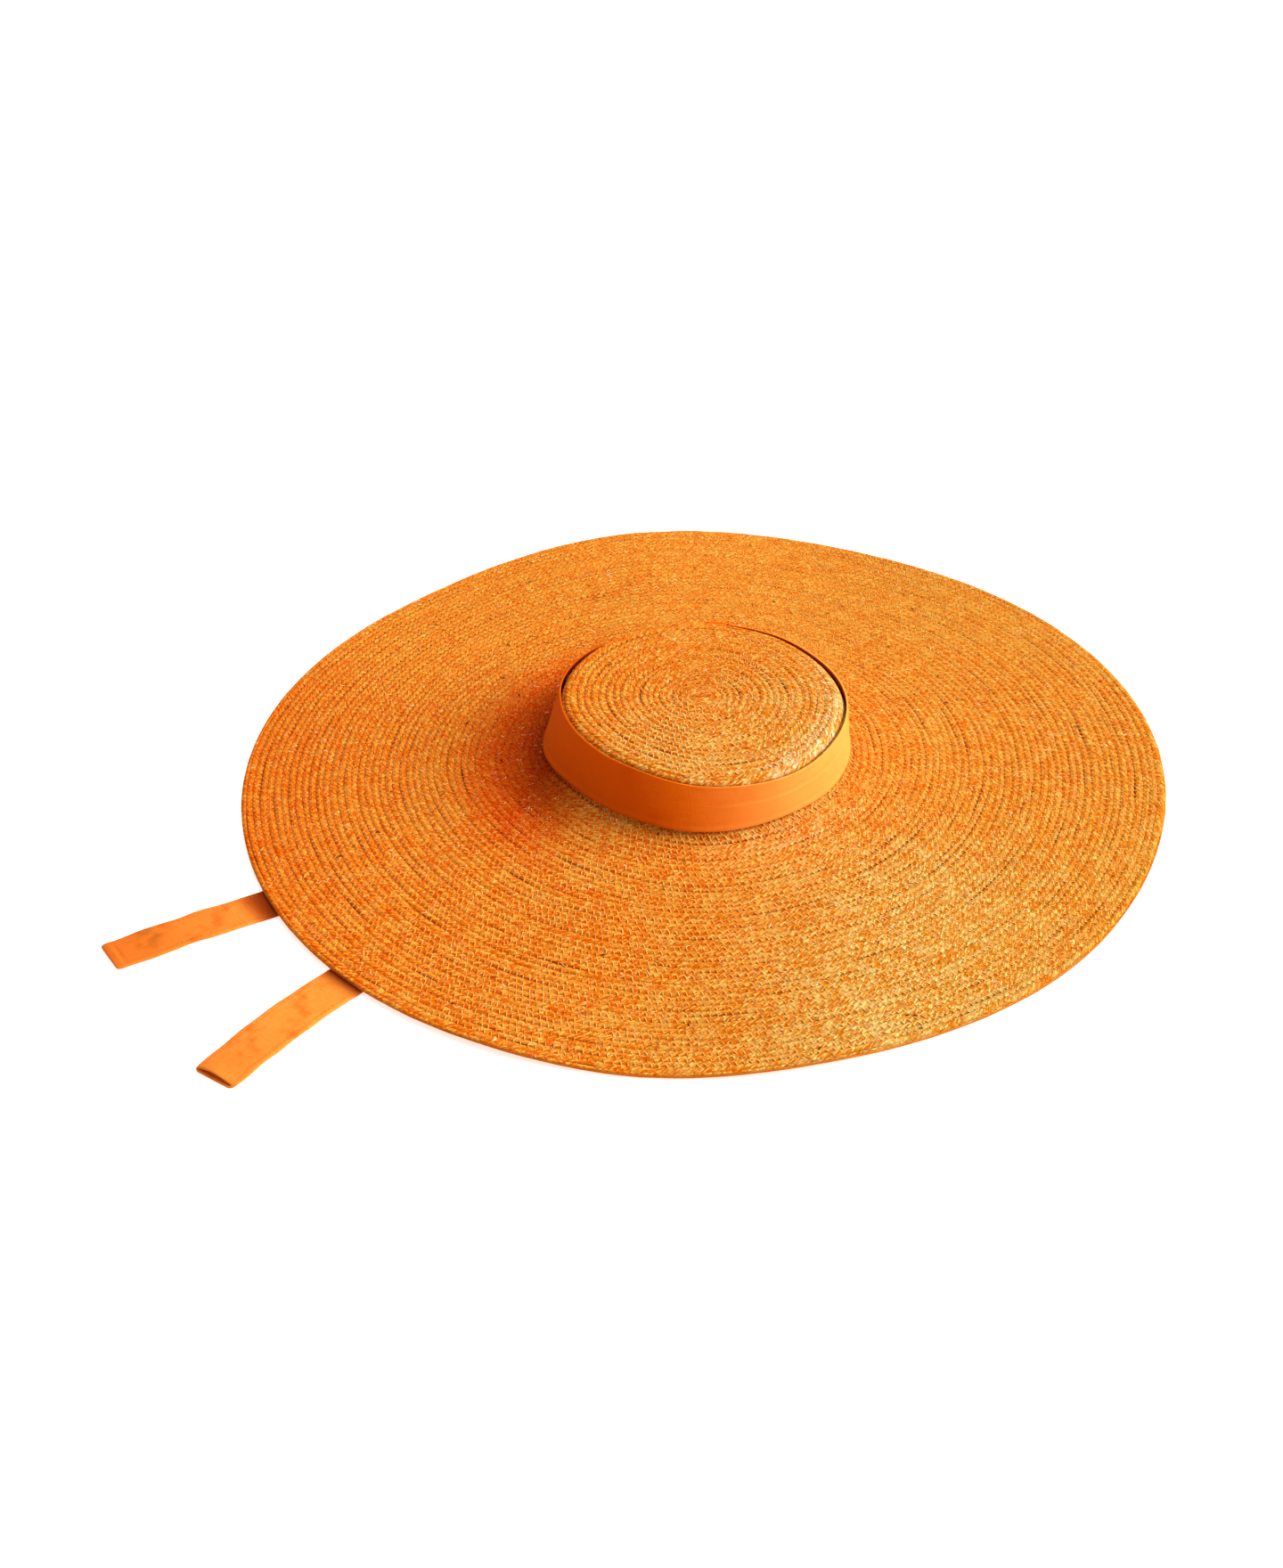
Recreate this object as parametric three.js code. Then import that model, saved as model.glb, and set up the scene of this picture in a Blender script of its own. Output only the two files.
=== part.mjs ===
// Wide-brim straw hat lying on a flat surface, with a linen band round its low crown and two linen ties
// that lead out from under the brim.
// Units are millimetres. The origin is under the middle of the crown, on the surface that the hat lies on.
// +Z is up, and the ties lead away towards -X and -Y. Azimuths are in degrees about +Z, from +X.

import * as THREE from 'three';
import { mergeVertices } from 'three/addons/utils/BufferGeometryUtils.js';

// ---- driving dimensions ----

const STRAW = 2.4; // thickness of the sewn braid
const CLEAR = 0.3; // gap left between pieces that touch

const BRIM_RADIUS = 290; // outside of the edge cord
const CORD_RADIUS = 2.7; // the rolled outermost round
const BRIM_FOOT = 21.7; // height of the brim's top face where it turns up into the crown
const BRIM_LEVEL = 6.6; // mean height of the brim's top face at its edge
const BRIM_CURVE = 1.4; // how the brim dishes between its edge and the crown: 1 is a plain cone
const WAVE_FADE = 1.6; // how fast the edge's waves die out towards the crown
const FILLET = 7; // radius of the turn from the brim into the crown wall

const TIP_HEIGHT = 63; // top face of the crown's flat middle
const TIP_FLAT = 24; // radius of that flat middle
const SHOULDER_TOP = 61.5; // top face where the tip rolls over into the wall
const SHOULDER = 8; // radius of that roll

const BAND = 1.2; // thickness of the folded linen band
const BAND_FOOT = 26.5; // height of the band's lower edge
const BAND_CLEAR = 0.9; // space between the band and the crown's foot

const TIE = 1.6; // thickness of a tie, two layers of linen
const TIE_ROOT_RADIUS = 97; // a tie starts this far from the origin, beside the head opening
const TIE_SEAT_END = 122; // it lies against the brim's underside as far out as this
const TIE_FLOOR_START = 182; // and lies on the surface from here on

const BRIM_STEPS = 96;
const CROWN_STEPS = 72;

// Crests and dips of the brim's edge: how far the cord's underside stands above the surface.
const EDGE_WAVE = [
  { azimuth: 60, lift: 0 },
  { azimuth: 99, lift: 7.6 },
  { azimuth: 132, lift: 0 },
  { azimuth: 186, lift: 4.5 },
  { azimuth: 222, lift: 2.2 },
  { azimuth: 241, lift: 2.8 },
  { azimuth: 261, lift: 0 },
  { azimuth: 284, lift: 4 },
  { azimuth: 318, lift: 0 },
  { azimuth: 355, lift: 5.8 },
];

// The soft crown's plan, every 30 degrees: the band's outer radius at its top and at its foot, the height of
// its top edge, and how far the crown's shoulder stands back from it.
const CROWN_PLAN = [
  { azimuth: 0, top: 91, foot: 93, height: 59.5, slack: 0.8 },
  { azimuth: 30, top: 89.1, foot: 93.5, height: 59, slack: 1.2 },
  { azimuth: 60, top: 91.4, foot: 94.5, height: 58, slack: 1 },
  { azimuth: 90, top: 94.5, foot: 96, height: 57, slack: 0.6 },
  { azimuth: 120, top: 95.5, foot: 97.5, height: 55.5, slack: 0.1 },
  { azimuth: 150, top: 93.6, foot: 99, height: 58.5, slack: 0.9 },
  { azimuth: 180, top: 87.5, foot: 99.3, height: 60, slack: 0.5 },
  { azimuth: 210, top: 82.4, foot: 89.3, height: 60, slack: 0.2 },
  { azimuth: 240, top: 83, foot: 88.7, height: 60, slack: 0 },
  { azimuth: 270, top: 91.6, foot: 92.6, height: 59.5, slack: 0 },
  { azimuth: 300, top: 96.9, foot: 91.7, height: 59.5, slack: 0 },
  { azimuth: 330, top: 93.4, foot: 93.3, height: 59.5, slack: 0.4 },
];

// Each tie's middle line in plan, from its sewn end to its free end.
const TIES = [
  {
    name: 'tie_left',
    width: 27,
    root: 198,
    route: [
      { x: -178, y: -72.5 },
      { x: -264.7, y: -118.5 },
      { x: -310, y: -141 },
      { x: -355, y: -166 },
    ],
  },
  {
    name: 'tie_right',
    width: 30,
    root: 224,
    route: [
      { x: -142, y: -128 },
      { x: -211.9, y: -192 },
      { x: -248.2, y: -231.3 },
      { x: -283.4, y: -277.6 },
    ],
  },
];

const STRAW_LOOK = { color: 0xf08c32, roughness: 0.85, metalness: 0 };
const CORD_LOOK = { color: 0xd97824, roughness: 0.85, metalness: 0 };
const LINEN_LOOK = { color: 0xea6410, roughness: 0.9, metalness: 0 };

// ---- tables and helpers ----

const { clamp, degToRad, radToDeg, euclideanModulo, smoothstep, lerp } = THREE.MathUtils;

// A smooth closed curve through a table's evenly spaced rows, as a function of azimuth in radians.
function around(rows, column) {
  const step = 360 / rows.length;
  const value = (k) => rows[euclideanModulo(k, rows.length)][column];
  return (azimuth) => {
    const place = euclideanModulo(radToDeg(azimuth), 360) / step;
    const k = Math.floor(place);
    const t = place - k;
    const [a, b, c, d] = [value(k - 1), value(k), value(k + 1), value(k + 2)];
    return b + 0.5 * t * (c - a + t * (2 * a - 5 * b + 4 * c - d + t * (3 * (b - c) + d - a)));
  };
}

// Rounded waves from each crest or dip to the next, as a function of azimuth in radians.
function waves(rows) {
  return (azimuth) => {
    const degrees = euclideanModulo(radToDeg(azimuth) - rows[0].azimuth, 360) + rows[0].azimuth;
    const k = rows.findLastIndex((row) => row.azimuth <= degrees);
    const next = rows[(k + 1) % rows.length];
    const end = next.azimuth + (k + 1 === rows.length ? 360 : 0);
    return lerp(rows[k].lift, next.lift, smoothstep(degrees, rows[k].azimuth, end));
  };
}

const edgeLift = waves(EDGE_WAVE);
const bandTopRadius = around(CROWN_PLAN, 'top');
const bandFootRadius = around(CROWN_PLAN, 'foot');
const bandTopHeight = around(CROWN_PLAN, 'height');
const shoulderSlack = around(CROWN_PLAN, 'slack');

const point = (r, z) => new THREE.Vector2(r, z);
const steps = (count) => Array.from({ length: count + 1 }, (_, k) => k / count);

// Radius of the band's outer face at a height: a straight line from its foot to its top edge.
function bandRadius(azimuth, height) {
  const share = (height - BAND_FOOT) / (bandTopHeight(azimuth) - BAND_FOOT);
  return lerp(bandFootRadius(azimuth), bandTopRadius(azimuth), share);
}

const SHOULDER_FOOT = SHOULDER_TOP - SHOULDER;
const SEAM = BRIM_FOOT + FILLET; // the crown wall starts here, hidden behind the band
const CORD_MIDDLE = BRIM_RADIUS - CORD_RADIUS;
const BRIM_END = CORD_MIDDLE - CORD_RADIUS - CLEAR;

const crownFootRadius = (azimuth) => bandFootRadius(azimuth) - BAND - BAND_CLEAR;
const crownTopRadius = (azimuth) =>
  bandRadius(azimuth, SHOULDER_FOOT) - BAND - CLEAR - shoulderSlack(azimuth);

// Height of the brim's top face.
function brimHeight(azimuth, r) {
  const start = crownFootRadius(azimuth) + FILLET;
  const share = clamp((BRIM_END - r) / (BRIM_END - start), 0, 1);
  const wave = edgeLift(azimuth) + CORD_RADIUS + STRAW / 2 - BRIM_LEVEL;
  return BRIM_LEVEL + (BRIM_FOOT - BRIM_LEVEL) * share ** BRIM_CURVE + wave * (1 - share) ** WAVE_FADE;
}

// A closed solid turned about +Z. section(azimuth) lists its outline at that azimuth, clockwise with the radius
// to the right and up at the top: all of them have as many points, and the outline closes on itself or starts
// and ends on the axis.
function turnedSolid(section, count) {
  const geometry = new THREE.LatheGeometry(section(0), count);
  const position = geometry.attributes.position;
  const perRing = position.count / (count + 1);
  for (let i = 0; i < position.count; i++) {
    const azimuth = (-2 * Math.PI * (Math.floor(i / perRing) % count)) / count;
    const { x: r, y: z } = section(azimuth)[i % perRing];
    position.setXYZ(i, r * Math.cos(azimuth), r * Math.sin(azimuth), z);
  }
  return closed(geometry);
}

// The same surface with its shared corners merged and its empty triangles dropped.
function closed(geometry) {
  geometry.deleteAttribute('normal');
  geometry.deleteAttribute('uv');
  const merged = mergeVertices(geometry, 1e-5);
  const kept = [];
  const index = merged.index.array;
  for (let i = 0; i < index.length; i += 3) {
    const [a, b, c] = index.slice(i, i + 3);
    if (a !== b && b !== c && c !== a) kept.push(a, b, c);
  }
  merged.setIndex(kept);
  merged.computeVertexNormals();
  return merged;
}

function piece(name, geometry, look) {
  const mesh = new THREE.Mesh(geometry, new THREE.MeshStandardMaterial(look));
  mesh.name = name;
  return mesh;
}

// ---- straw ----

// Crown: a nearly flat tip, a rounded shoulder and a leaning wall, open below for the head.
function crownSection(azimuth) {
  const top = crownTopRadius(azimuth);
  const foot = crownFootRadius(azimuth);
  const rollStart = top - SHOULDER;
  const tip = steps(3).map((t) =>
    point(lerp(TIP_FLAT, rollStart, t), lerp(TIP_HEIGHT, SHOULDER_TOP, t * t)),
  );
  const roll = (radius, count) =>
    steps(count).map((t) => {
      const angle = (t * Math.PI) / 2;
      return point(rollStart + radius * Math.sin(angle), SHOULDER_FOOT + radius * Math.cos(angle));
    });
  const outside = [point(0, TIP_HEIGHT), ...tip, ...roll(SHOULDER, 4).slice(1), point(foot, SEAM + CLEAR)];
  const underTip = tip.map((p) => point(p.x, p.y - STRAW));
  const inside = [point(0, TIP_HEIGHT - STRAW), ...underTip, ...roll(SHOULDER - STRAW, 3).slice(1)];
  return [...outside, point(foot - STRAW, SEAM + CLEAR), ...inside.reverse()];
}

// Brim: the turn out of the crown wall, then a shallow dished cone with the edge's waves.
function brimSection(azimuth) {
  const foot = crownFootRadius(azimuth);
  const turn = (radius, wall, face, count) =>
    steps(count).map((t) => {
      const angle = (t * Math.PI) / 2;
      return point(wall + radius * (1 - Math.cos(angle)), face + radius * (1 - Math.sin(angle)));
    });
  const spread = (count) =>
    steps(count).map((t) => {
      const r = lerp(foot + FILLET, BRIM_END, t);
      return point(r, brimHeight(azimuth, r));
    });
  const upper = [...turn(FILLET, foot, BRIM_FOOT, 4), ...spread(7).slice(1)];
  const lower = [
    ...turn(FILLET + STRAW, foot - STRAW, BRIM_FOOT - STRAW, 3),
    ...spread(6).slice(1).map((p) => point(p.x, p.y - STRAW)),
  ];
  const outline = [...upper, ...lower.reverse()];
  return [...outline, outline[0]];
}

// Edge: the outermost round, rolled into a cord.
function edgeSection(azimuth) {
  const middle = edgeLift(azimuth) + CORD_RADIUS;
  const outline = steps(8).map((t) => {
    const angle = -2 * Math.PI * t;
    return point(CORD_MIDDLE + CORD_RADIUS * Math.cos(angle), middle + CORD_RADIUS * Math.sin(angle));
  });
  return [...outline.slice(0, -1), outline[0]];
}

// ---- linen ----

// Band: a flat strip closed into a ring, flaring or leaning with the crown behind it.
function bandSection(azimuth) {
  const top = bandTopHeight(azimuth);
  const outer = steps(2).map((t) => {
    const height = lerp(top, BAND_FOOT, t);
    return point(bandRadius(azimuth, height), height);
  });
  const outline = [...outer, ...outer.map((p) => point(p.x - BAND, p.y)).reverse()];
  return [...outline, outline[0]];
}

// Height of a tie's middle face over a plan point: against the brim's underside near the crown, then falling
// in an easy curve to the surface.
function tieHeight(x, y) {
  const r = Math.hypot(x, y);
  const azimuth = Math.atan2(y, x);
  const underBrim = brimHeight(azimuth, r) - STRAW;
  const fall = smoothstep(r, TIE_SEAT_END, TIE_FLOOR_START);
  return lerp(underBrim - CLEAR - TIE / 2, TIE / 2, fall);
}

// Tie: a flat strap bent along its route.
function tieSolid({ width, root, route }) {
  const start = degToRad(root);
  const sewnEnd = { x: TIE_ROOT_RADIUS * Math.cos(start), y: TIE_ROOT_RADIUS * Math.sin(start) };
  const plan = new THREE.CatmullRomCurve3([sewnEnd, ...route].map(({ x, y }) => new THREE.Vector3(x, y, 0)));
  const geometry = new THREE.BoxGeometry(1, width, TIE, 36, 2, 1);
  const position = geometry.attributes.position;
  const up = new THREE.Vector3(0, 0, 1);
  for (let i = 0; i < position.count; i++) {
    const along = clamp(position.getX(i) + 0.5, 0, 1);
    const ahead = plan.getTangentAt(along);
    const across = new THREE.Vector3().crossVectors(up, ahead);
    const place = plan.getPointAt(along).addScaledVector(across, position.getY(i));
    const rise = tieHeight(place.x + ahead.x, place.y + ahead.y) - tieHeight(place.x - ahead.x, place.y - ahead.y);
    const outward = new THREE.Vector3(-ahead.x * (rise / 2), -ahead.y * (rise / 2), 1).normalize();
    place.z = tieHeight(place.x, place.y);
    place.addScaledVector(outward, position.getZ(i));
    position.setXYZ(i, place.x, place.y, place.z);
  }
  return closed(geometry);
}

// ---- assembly ----

const straw = new THREE.Group();
straw.add(
  piece('crown', turnedSolid(crownSection, CROWN_STEPS), STRAW_LOOK),
  piece('brim', turnedSolid(brimSection, BRIM_STEPS), STRAW_LOOK),
  piece('brim_edge', turnedSolid(edgeSection, BRIM_STEPS), CORD_LOOK),
);

const linen = new THREE.Group();
linen.add(piece('hat_band', turnedSolid(bandSection, CROWN_STEPS), LINEN_LOOK));
for (const tie of TIES) linen.add(piece(tie.name, tieSolid(tie), LINEN_LOOK));

const hat = new THREE.Group();
hat.add(straw, linen);

export default hat;
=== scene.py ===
"""Dresses a wide-brim straw hat: one long braid sewn in a spiral, its hooked stitching, the rolled edge, the
linen band and the two linen ties.

Lengths are millimetres and azimuths are radians about +Z from +X, unless a docstring says otherwise. Meshes
are written in metres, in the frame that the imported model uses: the hat lies on z = 0 with its crown over the
origin.
"""

import logging
import math
from dataclasses import dataclass, field
from enum import Enum

import bpy
import numpy as np
from mathutils import Matrix, Vector


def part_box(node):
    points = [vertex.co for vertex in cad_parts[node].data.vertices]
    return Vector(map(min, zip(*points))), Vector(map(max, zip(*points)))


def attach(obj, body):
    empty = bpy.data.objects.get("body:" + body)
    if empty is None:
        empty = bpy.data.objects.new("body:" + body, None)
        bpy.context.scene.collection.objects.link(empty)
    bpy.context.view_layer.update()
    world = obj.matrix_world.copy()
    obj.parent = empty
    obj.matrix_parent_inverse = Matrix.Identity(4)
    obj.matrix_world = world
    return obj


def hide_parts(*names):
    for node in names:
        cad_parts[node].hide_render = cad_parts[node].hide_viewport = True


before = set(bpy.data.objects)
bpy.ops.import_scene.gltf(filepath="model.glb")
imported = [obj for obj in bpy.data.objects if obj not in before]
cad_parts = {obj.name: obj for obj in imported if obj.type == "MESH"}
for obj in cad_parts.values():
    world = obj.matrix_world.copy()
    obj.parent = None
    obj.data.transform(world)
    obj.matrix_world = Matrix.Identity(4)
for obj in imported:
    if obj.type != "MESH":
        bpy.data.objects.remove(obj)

log = logging.getLogger("straw_hat")

MM = 0.001
TAU = 2 * math.pi

Socket = bpy.types.NodeSocket
Value = Socket | float | tuple[float, ...]  # what a node's input takes

# Crests and dips of the brim's edge: azimuth in degrees, and how far the edge's underside is off the floor.
EDGE_WAVE = (
    (60, 0), (99, 7.6), (132, 0), (186, 4.5), (222, 2.2),
    (241, 2.8), (261, 0), (284, 4), (318, 0), (355, 5.8),
)

# The soft crown, every 30 degrees from azimuth 0: the band's outer radius at its top and at its foot, the
# height of its top edge, and how far the shoulder stands back from it.
BAND_TOP_RADIUS = (91, 89.1, 91.4, 94.5, 95.5, 93.6, 87.5, 82.4, 83, 91.6, 96.9, 93.4)
BAND_FOOT_RADIUS = (93, 93.5, 94.5, 96, 97.5, 99, 99.3, 89.3, 88.7, 92.6, 91.7, 93.3)
BAND_TOP_HEIGHT = (59.5, 59, 58, 57, 55.5, 58.5, 60, 60, 60, 59.5, 59.5, 59.5)
SHOULDER_SLACK = (0.5, 1.1, 1, 0.6, 0.4, 1.7, 1.2, 0.6, 0.2, 0, 0, 0.4)

# Seams that have parted a little: azimuth in degrees, rounds from the crown's middle, half the slit's length.
PARTED_SEAMS = (
    (121, 7.9, 7), (31, 10.9, 9), (300, 6, 6), (184, 39.3, 9), (199, 56.9, 12),
    (202, 66.5, 14), (212, 62.2, 10), (352, 67.1, 9), (6, 65.5, 8),
)

# Dark husks caught in the straw: azimuth in degrees, rounds from the crown's middle.
HUSKS = ((180, 34.9), (147, 37.7), (201.5, 34.1), (227.6, 60.7), (236.2, 67.3), (199, 57.4))


# ---- numbers ----


def smoothstep(value: np.ndarray, low: float, high: float) -> np.ndarray:
    """Rises from 0 at low to 1 at high with level ends."""
    share = np.clip((value - low) / (high - low), 0, 1)
    return share * share * (3 - 2 * share)


def lerp(start: np.ndarray, end: np.ndarray, share: np.ndarray) -> np.ndarray:
    """The value at a share of the way from start to end."""
    return start + (end - start) * share


def bell(value: np.ndarray, middle: float, reach: float) -> np.ndarray:
    """A smooth bump, 1 at the middle and nearly 0 beyond twice the reach."""
    return np.exp(-(((value - middle) / reach) ** 2))


def around(values: tuple[float, ...], azimuth: np.ndarray) -> np.ndarray:
    """A smooth closed curve through evenly spaced values.

    Args:
        values: one value for each equal share of the circle, from azimuth 0.
        azimuth: where to read the curve.

    Returns:
        The curve's value at each azimuth.
    """
    table = np.asarray(values, float)
    place = np.mod(azimuth, TAU) / TAU * len(table)
    row = np.floor(place).astype(int)
    t = place - row
    a, b, c, d = (table[(row + step) % len(table)] for step in (-1, 0, 1, 2))
    return b + 0.5 * t * (c - a + t * (2 * a - 5 * b + 4 * c - d + t * (3 * (b - c) + d - a)))


class Wander:
    """Smooth seeded unevenness along a length, between about -1 and 1."""

    def __init__(self, seed: int, spacing: float, count: int = 4096) -> None:
        """Draws the random values.

        Args:
            seed: picks the pattern.
            spacing: length between one random value and the next.
            count: how many values there are before the pattern repeats.
        """
        self.values = np.random.default_rng(seed).uniform(-1, 1, count)
        self.spacing = spacing

    def __call__(self, length: np.ndarray) -> np.ndarray:
        """Reads the unevenness.

        Args:
            length: where to read it.

        Returns:
            The unevenness at each length.
        """
        place = np.asarray(length) / self.spacing
        row = np.floor(place).astype(int)
        t = place - row
        low, high = (self.values[(row + step) % len(self.values)] for step in (0, 1))
        return lerp(low, high, t * t * (3 - 2 * t))


class Swell:
    """A gentle seeded swell over the plan, as soft straw settles unevenly."""

    def __init__(self, seed: int, wavelengths: tuple[float, ...]) -> None:
        """Draws one plane wave for each wavelength.

        Args:
            seed: picks the pattern.
            wavelengths: distance between crests of each wave.
        """
        rng = np.random.default_rng(seed)
        heading = rng.uniform(0, TAU, len(wavelengths))
        self.phase = rng.uniform(0, TAU, len(wavelengths))
        self.wave = [(TAU / w * math.cos(h), TAU / w * math.sin(h)) for w, h in zip(wavelengths, heading)]

    def __call__(self, x: np.ndarray, y: np.ndarray) -> np.ndarray:
        """The swell at each plan point, between about -1 and 1."""
        total = sum(np.sin(kx * x + ky * y + p) for (kx, ky), p in zip(self.wave, self.phase))
        return total / len(self.wave)


# ---- the hat's form ----


@dataclass(frozen=True)
class HatForm:
    """The hat's soft form: the face that the braid is sewn to and the face of the band.

    A place on the straw is given by its azimuth and by how many braid rounds lie between it and the crown's
    middle: the tip's rounds, then those over the shoulder, down the wall and round the turn, then the brim's.
    """

    brim_radius: float
    tip_height: float
    straw: float = 2.4  # thickness of the braid
    clear: float = 0.3  # the gap left at a sewn joint
    edge_radius: float = 2.7
    brim_foot: float = 21.7  # height of the brim's top face where the turn up to the wall starts
    brim_level: float = 6.6  # height of the brim's top face at its outer end, before the edge's waves
    brim_curve: float = 1.4
    wave_fade: float = 1.6
    fillet: float = 7  # radius of the turn from wall to brim
    tip_flat: float = 24  # radius of the tip's level middle
    shoulder_top: float = 61.5
    shoulder: float = 8  # radius of the turn from tip to wall
    band: float = 1.2  # thickness of the folded linen
    band_foot: float = 26.5
    band_clear: float = 0.9
    tip_rounds: float = 18
    wall_rounds: float = 10.5
    brim_rounds: float = 42.5
    swell: Swell = field(default_factory=lambda: Swell(5, (47, 58, 73, 91, 118)))
    swell_height: float = 0.55
    tip_swell: float = 0.8  # the tip's swell as a share of the brim's
    tip_swell_end: tuple[float, float] = (60, 82)  # radii between which the swell dies out
    brim_swell_start: tuple[float, float] = (125, 160)
    brim_swell_end: tuple[float, float] = (235, 275)
    rim: float = 0.7  # how far the last round stays inside the roll's outer side

    @classmethod
    def from_frame(cls) -> "HatForm":
        """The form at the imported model's size."""
        return cls(brim_radius=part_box("brim_edge")[1].x / MM, tip_height=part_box("crown")[1].z / MM)

    @property
    def rounds(self) -> float:
        """All the rounds from the crown's middle to the rolled edge."""
        return self.tip_rounds + self.wall_rounds + self.brim_rounds

    @property
    def brim_end(self) -> float:
        """Radius where the flat braid ends, just inside the rolled edge."""
        return self.brim_radius - 2 * self.edge_radius - self.clear

    @property
    def shoulder_foot(self) -> float:
        """Height where the rounded shoulder meets the wall."""
        return self.shoulder_top - self.shoulder

    def edge_lift(self, azimuth: np.ndarray) -> np.ndarray:
        """Follows the edge's crests and dips.

        Args:
            azimuth: azimuth of each place.

        Returns:
            How far the edge's underside stands off the floor at each place.
        """
        starts = np.array([row[0] for row in EDGE_WAVE], float)
        lifts = np.array([row[1] for row in EDGE_WAVE], float)
        degrees = np.mod(np.degrees(azimuth) - starts[0], 360) + starts[0]
        row = np.searchsorted(starts, degrees, side="right") - 1
        after = (row + 1) % len(starts)
        ends = np.append(starts[1:], starts[0] + 360)[row]
        share = np.clip((degrees - starts[row]) / (ends - starts[row]), 0, 1)
        return lerp(lifts[row], lifts[after], share * share * (3 - 2 * share))

    def band_top(self, azimuth: np.ndarray) -> np.ndarray:
        """Height of the band's top edge."""
        return around(BAND_TOP_HEIGHT, azimuth)

    def band_radius(self, azimuth: np.ndarray, height: np.ndarray) -> np.ndarray:
        """Radius of the band's outer face, which runs straight from its foot to its top edge."""
        share = (height - self.band_foot) / (self.band_top(azimuth) - self.band_foot)
        return lerp(around(BAND_FOOT_RADIUS, azimuth), around(BAND_TOP_RADIUS, azimuth), share)

    def crown_foot(self, azimuth: np.ndarray) -> np.ndarray:
        """Radius of the crown wall's outer face at its foot."""
        return around(BAND_FOOT_RADIUS, azimuth) - self.band - self.band_clear

    def crown_top(self, azimuth: np.ndarray) -> np.ndarray:
        """Radius of the crown wall's outer face just under the shoulder."""
        behind_band = self.band_radius(azimuth, self.shoulder_foot) - self.band - self.clear
        return behind_band - around(SHOULDER_SLACK, azimuth)

    def brim_height(self, azimuth: np.ndarray, radius: np.ndarray) -> np.ndarray:
        """Works out the brim's top face.

        Args:
            azimuth: azimuth of each place.
            radius: radius of each place.

        Returns:
            The height of the face at each place.
        """
        start = self.crown_foot(azimuth) + self.fillet
        share = np.clip((self.brim_end - radius) / (self.brim_end - start), 0, 1)
        wave = self.edge_lift(azimuth) + self.edge_radius + self.straw / 2 - self.brim_level
        dish = (self.brim_foot - self.brim_level) * share**self.brim_curve
        return self.brim_level + dish + wave * (1 - share) ** self.wave_fade

    def face(self, azimuth: np.ndarray, rounds: np.ndarray) -> tuple[np.ndarray, ...]:
        """The straw's outer face.

        Args:
            azimuth: azimuth of each place.
            rounds: braid rounds between the crown's middle and each place.

        Returns:
            The radius and height of each place, and the outward normal's radial and upward parts.
        """
        azimuth, rounds = np.broadcast_arrays(azimuth, rounds)
        top, foot = self.crown_top(azimuth), self.crown_foot(azimuth)
        roll_start = top - self.shoulder

        radius = roll_start * np.clip(rounds / self.tip_rounds, 0, 1)
        fall = np.clip((radius - self.tip_flat) / (roll_start - self.tip_flat), 0, 1)
        drop = self.tip_height - self.shoulder_top
        height = self.tip_height - drop * fall**2
        slope = -2 * drop * fall / (roll_start - self.tip_flat)
        tip = (radius, height, -slope, np.ones_like(radius))

        wall_fall = self.shoulder_foot - (self.brim_foot + self.fillet)
        lean = foot - top
        wall = np.hypot(lean, wall_fall)
        roll, turn = self.shoulder * math.pi / 2, self.fillet * math.pi / 2
        way = np.clip((rounds - self.tip_rounds) / self.wall_rounds, 0, 1) * (roll + wall + turn)
        angle = np.clip(way / self.shoulder, 0, math.pi / 2)
        down = np.clip((way - roll) / wall, 0, 1)
        bend = np.clip((way - roll - wall) / self.fillet, 0, math.pi / 2)
        over = (
            roll_start + self.shoulder * np.sin(angle),
            self.shoulder_foot + self.shoulder * np.cos(angle),
            np.sin(angle),
            np.cos(angle),
        )
        wall_face = (
            lerp(top, foot, down),
            self.shoulder_foot - wall_fall * down,
            wall_fall / wall,
            lean / wall,
        )
        turned = (
            foot + self.fillet * (1 - np.cos(bend)),
            self.brim_foot + self.fillet * (1 - np.sin(bend)),
            np.cos(bend),
            np.sin(bend),
        )

        share = np.maximum((rounds - self.tip_rounds - self.wall_rounds) / self.brim_rounds, 0)
        out = lerp(foot + self.fillet, self.brim_radius - self.rim, share)
        step = 1.0
        rise = self.brim_height(azimuth, out + step) - self.brim_height(azimuth, out - step)
        brim = (out, self.brim_height(azimuth, out), -rise / (2 * step), np.ones_like(out))

        zones = [rounds < self.tip_rounds, way < roll, way < roll + wall, share <= 0]
        columns = zip(tip, over, wall_face, turned, brim)
        r, z, nr, nz = (np.select(zones, choices, last) for *choices, last in columns)
        size = np.hypot(nr, nz)
        return r, z, nr / size, nz / size

    def settle(self, x: np.ndarray, y: np.ndarray, radius: np.ndarray) -> np.ndarray:
        """Lets the soft straw sag or rise, on the tip and on the open brim.

        Args:
            x: plan place of each point.
            y: plan place of each point.
            radius: distance of each point from the upright axis.

        Returns:
            How far each point has risen.
        """
        tip = 1 - smoothstep(radius, *self.tip_swell_end)
        brim = smoothstep(radius, *self.brim_swell_start) * (1 - smoothstep(radius, *self.brim_swell_end))
        return self.swell_height * (self.tip_swell * tip + brim) * self.swell(x, y)


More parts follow.
